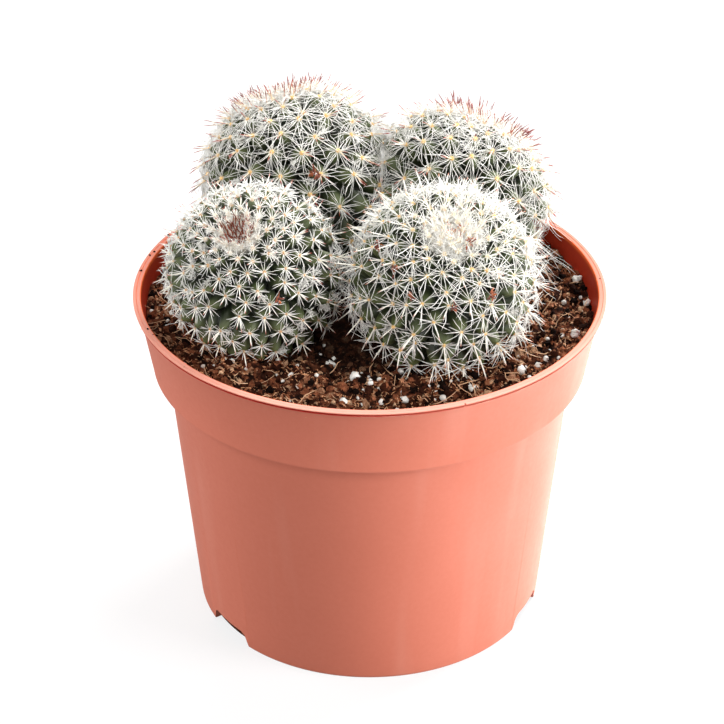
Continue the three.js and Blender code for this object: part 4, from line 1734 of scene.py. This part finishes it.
@dataclass
class CactusClump:
    """The four heads, which lean out from the middle of the clump."""

    soil_level: float

    def forms(self) -> dict[str, HeadForm]:
        """The form of each head, with the others as its neighbours."""
        shapes = {
            "head_front_left": ((-31.3, -14.5, 110.8), (-0.17, -0.49, 0.85), 23.2, 1.36, 0.94),
            "head_front_right": ((19.2, -18.5, 110.5), (0.12, -0.42, 0.9), 24.6, 1.24, 0.95),
            "head_back_left": ((-20.6, 35.2, 114.8), (-0.28, 0.47, 0.85), 26.8, 1.38, 0.88),
            "head_back_right": ((26.6, 33.2, 112.8), (0.45, 0.47, 0.83), 25.9, 1.36, 0.72),
        }
        forms = {
            name: HeadForm(np.array(centre) * MM, unit(np.array(crown)), radius * MM, *ratios)
            for name, (centre, crown, radius, *ratios) in shapes.items()
        }
        for form in forms.values():
            form.neighbours = [other for other in forms.values() if other is not form]
        return forms

    def heads(self) -> list[CactusHead]:
        """The heads with their coats, crowns and dried flowers."""
        forms, level = self.forms(), self.soil_level
        red_crown = CrownLook(
            wool_to=0.36, hairs=900, hair_length=1.0 * MM, spines=110, spine_reach=0.2,
            spine_length=2.6 * MM, spine_radius=0.14 * MM, spine_finish=CROWN_RED, bare=0.15,
        )
        white_crown = CrownLook(
            wool_to=0.42, hairs=3400, hair_length=0.95 * MM, spines=34, spine_reach=0.13,
            spine_length=1.4 * MM, spine_radius=0.13 * MM, spine_finish=CROWN_ORANGE, bare=0.1,
        )
        woolly_crown = CrownLook(
            wool_to=0.6, hairs=4800, hair_length=1.8 * MM, spines=96, spine_reach=0.64,
            spine_length=5.0 * MM, spine_radius=0.165 * MM, spine_finish=CROWN_TIPPED,
        )
        tall_crown = replace(woolly_crown, hairs=4600, spine_reach=0.7, spine_length=5.9 * MM)
        return [
            CactusHead(
                "head_front_left", forms["head_front_left"], level, COATS[Coat.SHORT], red_crown,
                seed=11, tufts=60,
                stray_groups=(Strays((-1, 0, 0.3), 40, 4.5 * MM),),
                remnants=((0.31, -0.93, 0.18),),
            ),
            CactusHead(
                "head_front_right", forms["head_front_right"], level, COATS[Coat.STOUT],
                white_crown, seed=12, crowding=1.75, tufts=34,
                stray_groups=(
                    Strays((1, -0.1, -0.1), 60, 7 * MM, (0.3, 0, -0.3), 0.6),
                    Strays((0.1, -0.9, -0.3), 40, 6 * MM, (0, -0.2, -0.5), 0.6),
                ),
                remnants=(
                    (-0.68, -0.39, 0.62), (-0.5, -0.7, 0.5), (-0.35, -0.89, 0.29),
                    (0.1, -0.97, 0.21), (0.47, -0.84, 0.27), (0.28, -0.55, 0.78),
                ),
            ),
            CactusHead(
                "head_back_left", forms["head_back_left"], level, COATS[Coat.HAIRY],
                woolly_crown, seed=13, tubercles=190, crowding=1.6, tufts=40,
                stray_groups=(
                    Strays((-0.3, -0.2, 0.1), 40, 6.5 * MM),
                    Strays((0.9, -0.3, 0.4), 160, 7.5 * MM, (0.3, -0.1, 0.1)),
                ),
                remnants=((0.18, -0.88, 0.44), (0.22, -0.86, 0.4)),
            ),
            CactusHead(
                "head_back_right", forms["head_back_right"], level, COATS[Coat.HAIRY],
                tall_crown, seed=14, tubercles=190, crowding=1.6, tufts=36,
                stray_groups=(
                    Strays((0.75, -0.6, -0.3), 75, 14 * MM, (1.0, -0.5, -0.8), 0.07, 0.22),
                    Strays((-0.9, -0.3, 0.4), 160, 7.5 * MM, (-0.3, -0.1, 0.1)),
                    Strays((0.5, 0.3, 0.2), 60, 6 * MM),
                ),
            ),
        ]

    def build(self) -> None:
        """Models every head."""
        for head in self.heads():
            head.build()


# ------------------------------------------------------------------ the studio


@dataclass(frozen=True)
class Lamp:
    """A square soft lamp that faces the plant.

    Its azimuth is in degrees from the front towards the right, its elevation in degrees above the
    horizon, its distance and its width in metres, and its power in watts.
    """

    name: str
    azimuth: float
    elevation: float
    distance: float
    size: float
    power: float
    aim: tuple[float, float, float] = (0, 0, 0.08)

    def build(self) -> None:
        """Adds the lamp."""
        turn, rise = math.radians(self.azimuth), math.radians(self.elevation)
        away = math.cos(rise)
        ray = Vector((math.sin(turn) * away, -math.cos(turn) * away, math.sin(rise)))
        data = bpy.data.lights.new(self.name, "AREA")
        data.shape = "SQUARE"
        data.size = self.size
        data.energy = self.power
        lamp = bpy.data.objects.new(self.name, data)
        lamp.location = Vector(self.aim) + ray * self.distance
        lamp.rotation_euler = (-ray).to_track_quat("-Z", "Y").to_euler()
        bpy.context.scene.collection.objects.link(lamp)


@dataclass
class Studio:
    """The camera, the light and the white sheet under the pot."""

    target: tuple[float, float, float] = (-2.1 * MM, 0, 73.14 * MM)
    distance: float = 725 * MM
    elevation: float = 31.46
    lens: float = 128.7
    film_width: float = 36
    seen_from: float = 0.01
    seen_to: float = 60
    floor_size: float = 12
    sky_strength: float = 0.01
    lamps: tuple[Lamp, ...] = (
        Lamp("key_lamp", 71, 18, 1.8, 0.8, 45),
        Lamp("top_lamp", 20, 78, 1.6, 0.9, 5),
        Lamp("rim_lamp", 137, 43, 1.8, 1.0, 48),
        Lamp("back_lamp", 180, 45, 1.8, 1.0, 12),
        Lamp("fill_lamp", -110, 15, 1.8, 1.0, 20),
        Lamp("front_lamp", -30, 35, 1.8, 1.2, 24),
    )

    def camera(self) -> None:
        """Sets the camera at the photograph's viewing angle."""
        angle = math.radians(self.elevation)
        back = Vector((0, -math.cos(angle), math.sin(angle)))
        up = Vector((0, math.sin(angle), math.cos(angle)))
        data = bpy.data.cameras.new("camera")
        data.lens = self.lens
        data.sensor_width = self.film_width
        data.clip_start = self.seen_from
        data.clip_end = self.seen_to
        camera = bpy.data.objects.new("camera", data)
        turn = Matrix((Vector((1, 0, 0)), up, back)).transposed().to_4x4()
        camera.matrix_world = Matrix.Translation(Vector(self.target) + back * self.distance) @ turn
        bpy.context.scene.collection.objects.link(camera)
        bpy.context.scene.camera = camera

    def build(self) -> None:
        """Sets up the floor, the lamps, the sky and the camera."""
        self.camera()
        clear_selection()
        bpy.ops.mesh.primitive_plane_add(size=self.floor_size)
        floor = bpy.context.object
        floor.name = "studio_floor"
        floor.data.materials.append(StudioPaper().material())
        for lamp in self.lamps:
            lamp.build()
        world = bpy.data.worlds.new("studio_sky")
        world.use_nodes = True
        sheet = Sheet(world.node_tree)
        sky = sheet.add("ShaderNodeBackground", Color=WHITE, Strength=self.sky_strength)
        sheet.add("ShaderNodeOutputWorld", Surface=sky.outputs["Background"])
        bpy.context.scene.world = world
        bpy.context.scene.view_settings.view_transform = "Standard"


# ------------------------------------------------------------------ all of it


def main() -> None:
    """Builds the studio, the pot, the soil and the clump."""
    logging.basicConfig(level=logging.INFO, format="%(name)s %(message)s")
    Studio().build()
    pot = NurseryPot()
    pot.build()
    soil = SoilBed(pot)
    soil.build()
    CactusClump(soil.level).build()


if __name__ == "__main__":
    main()
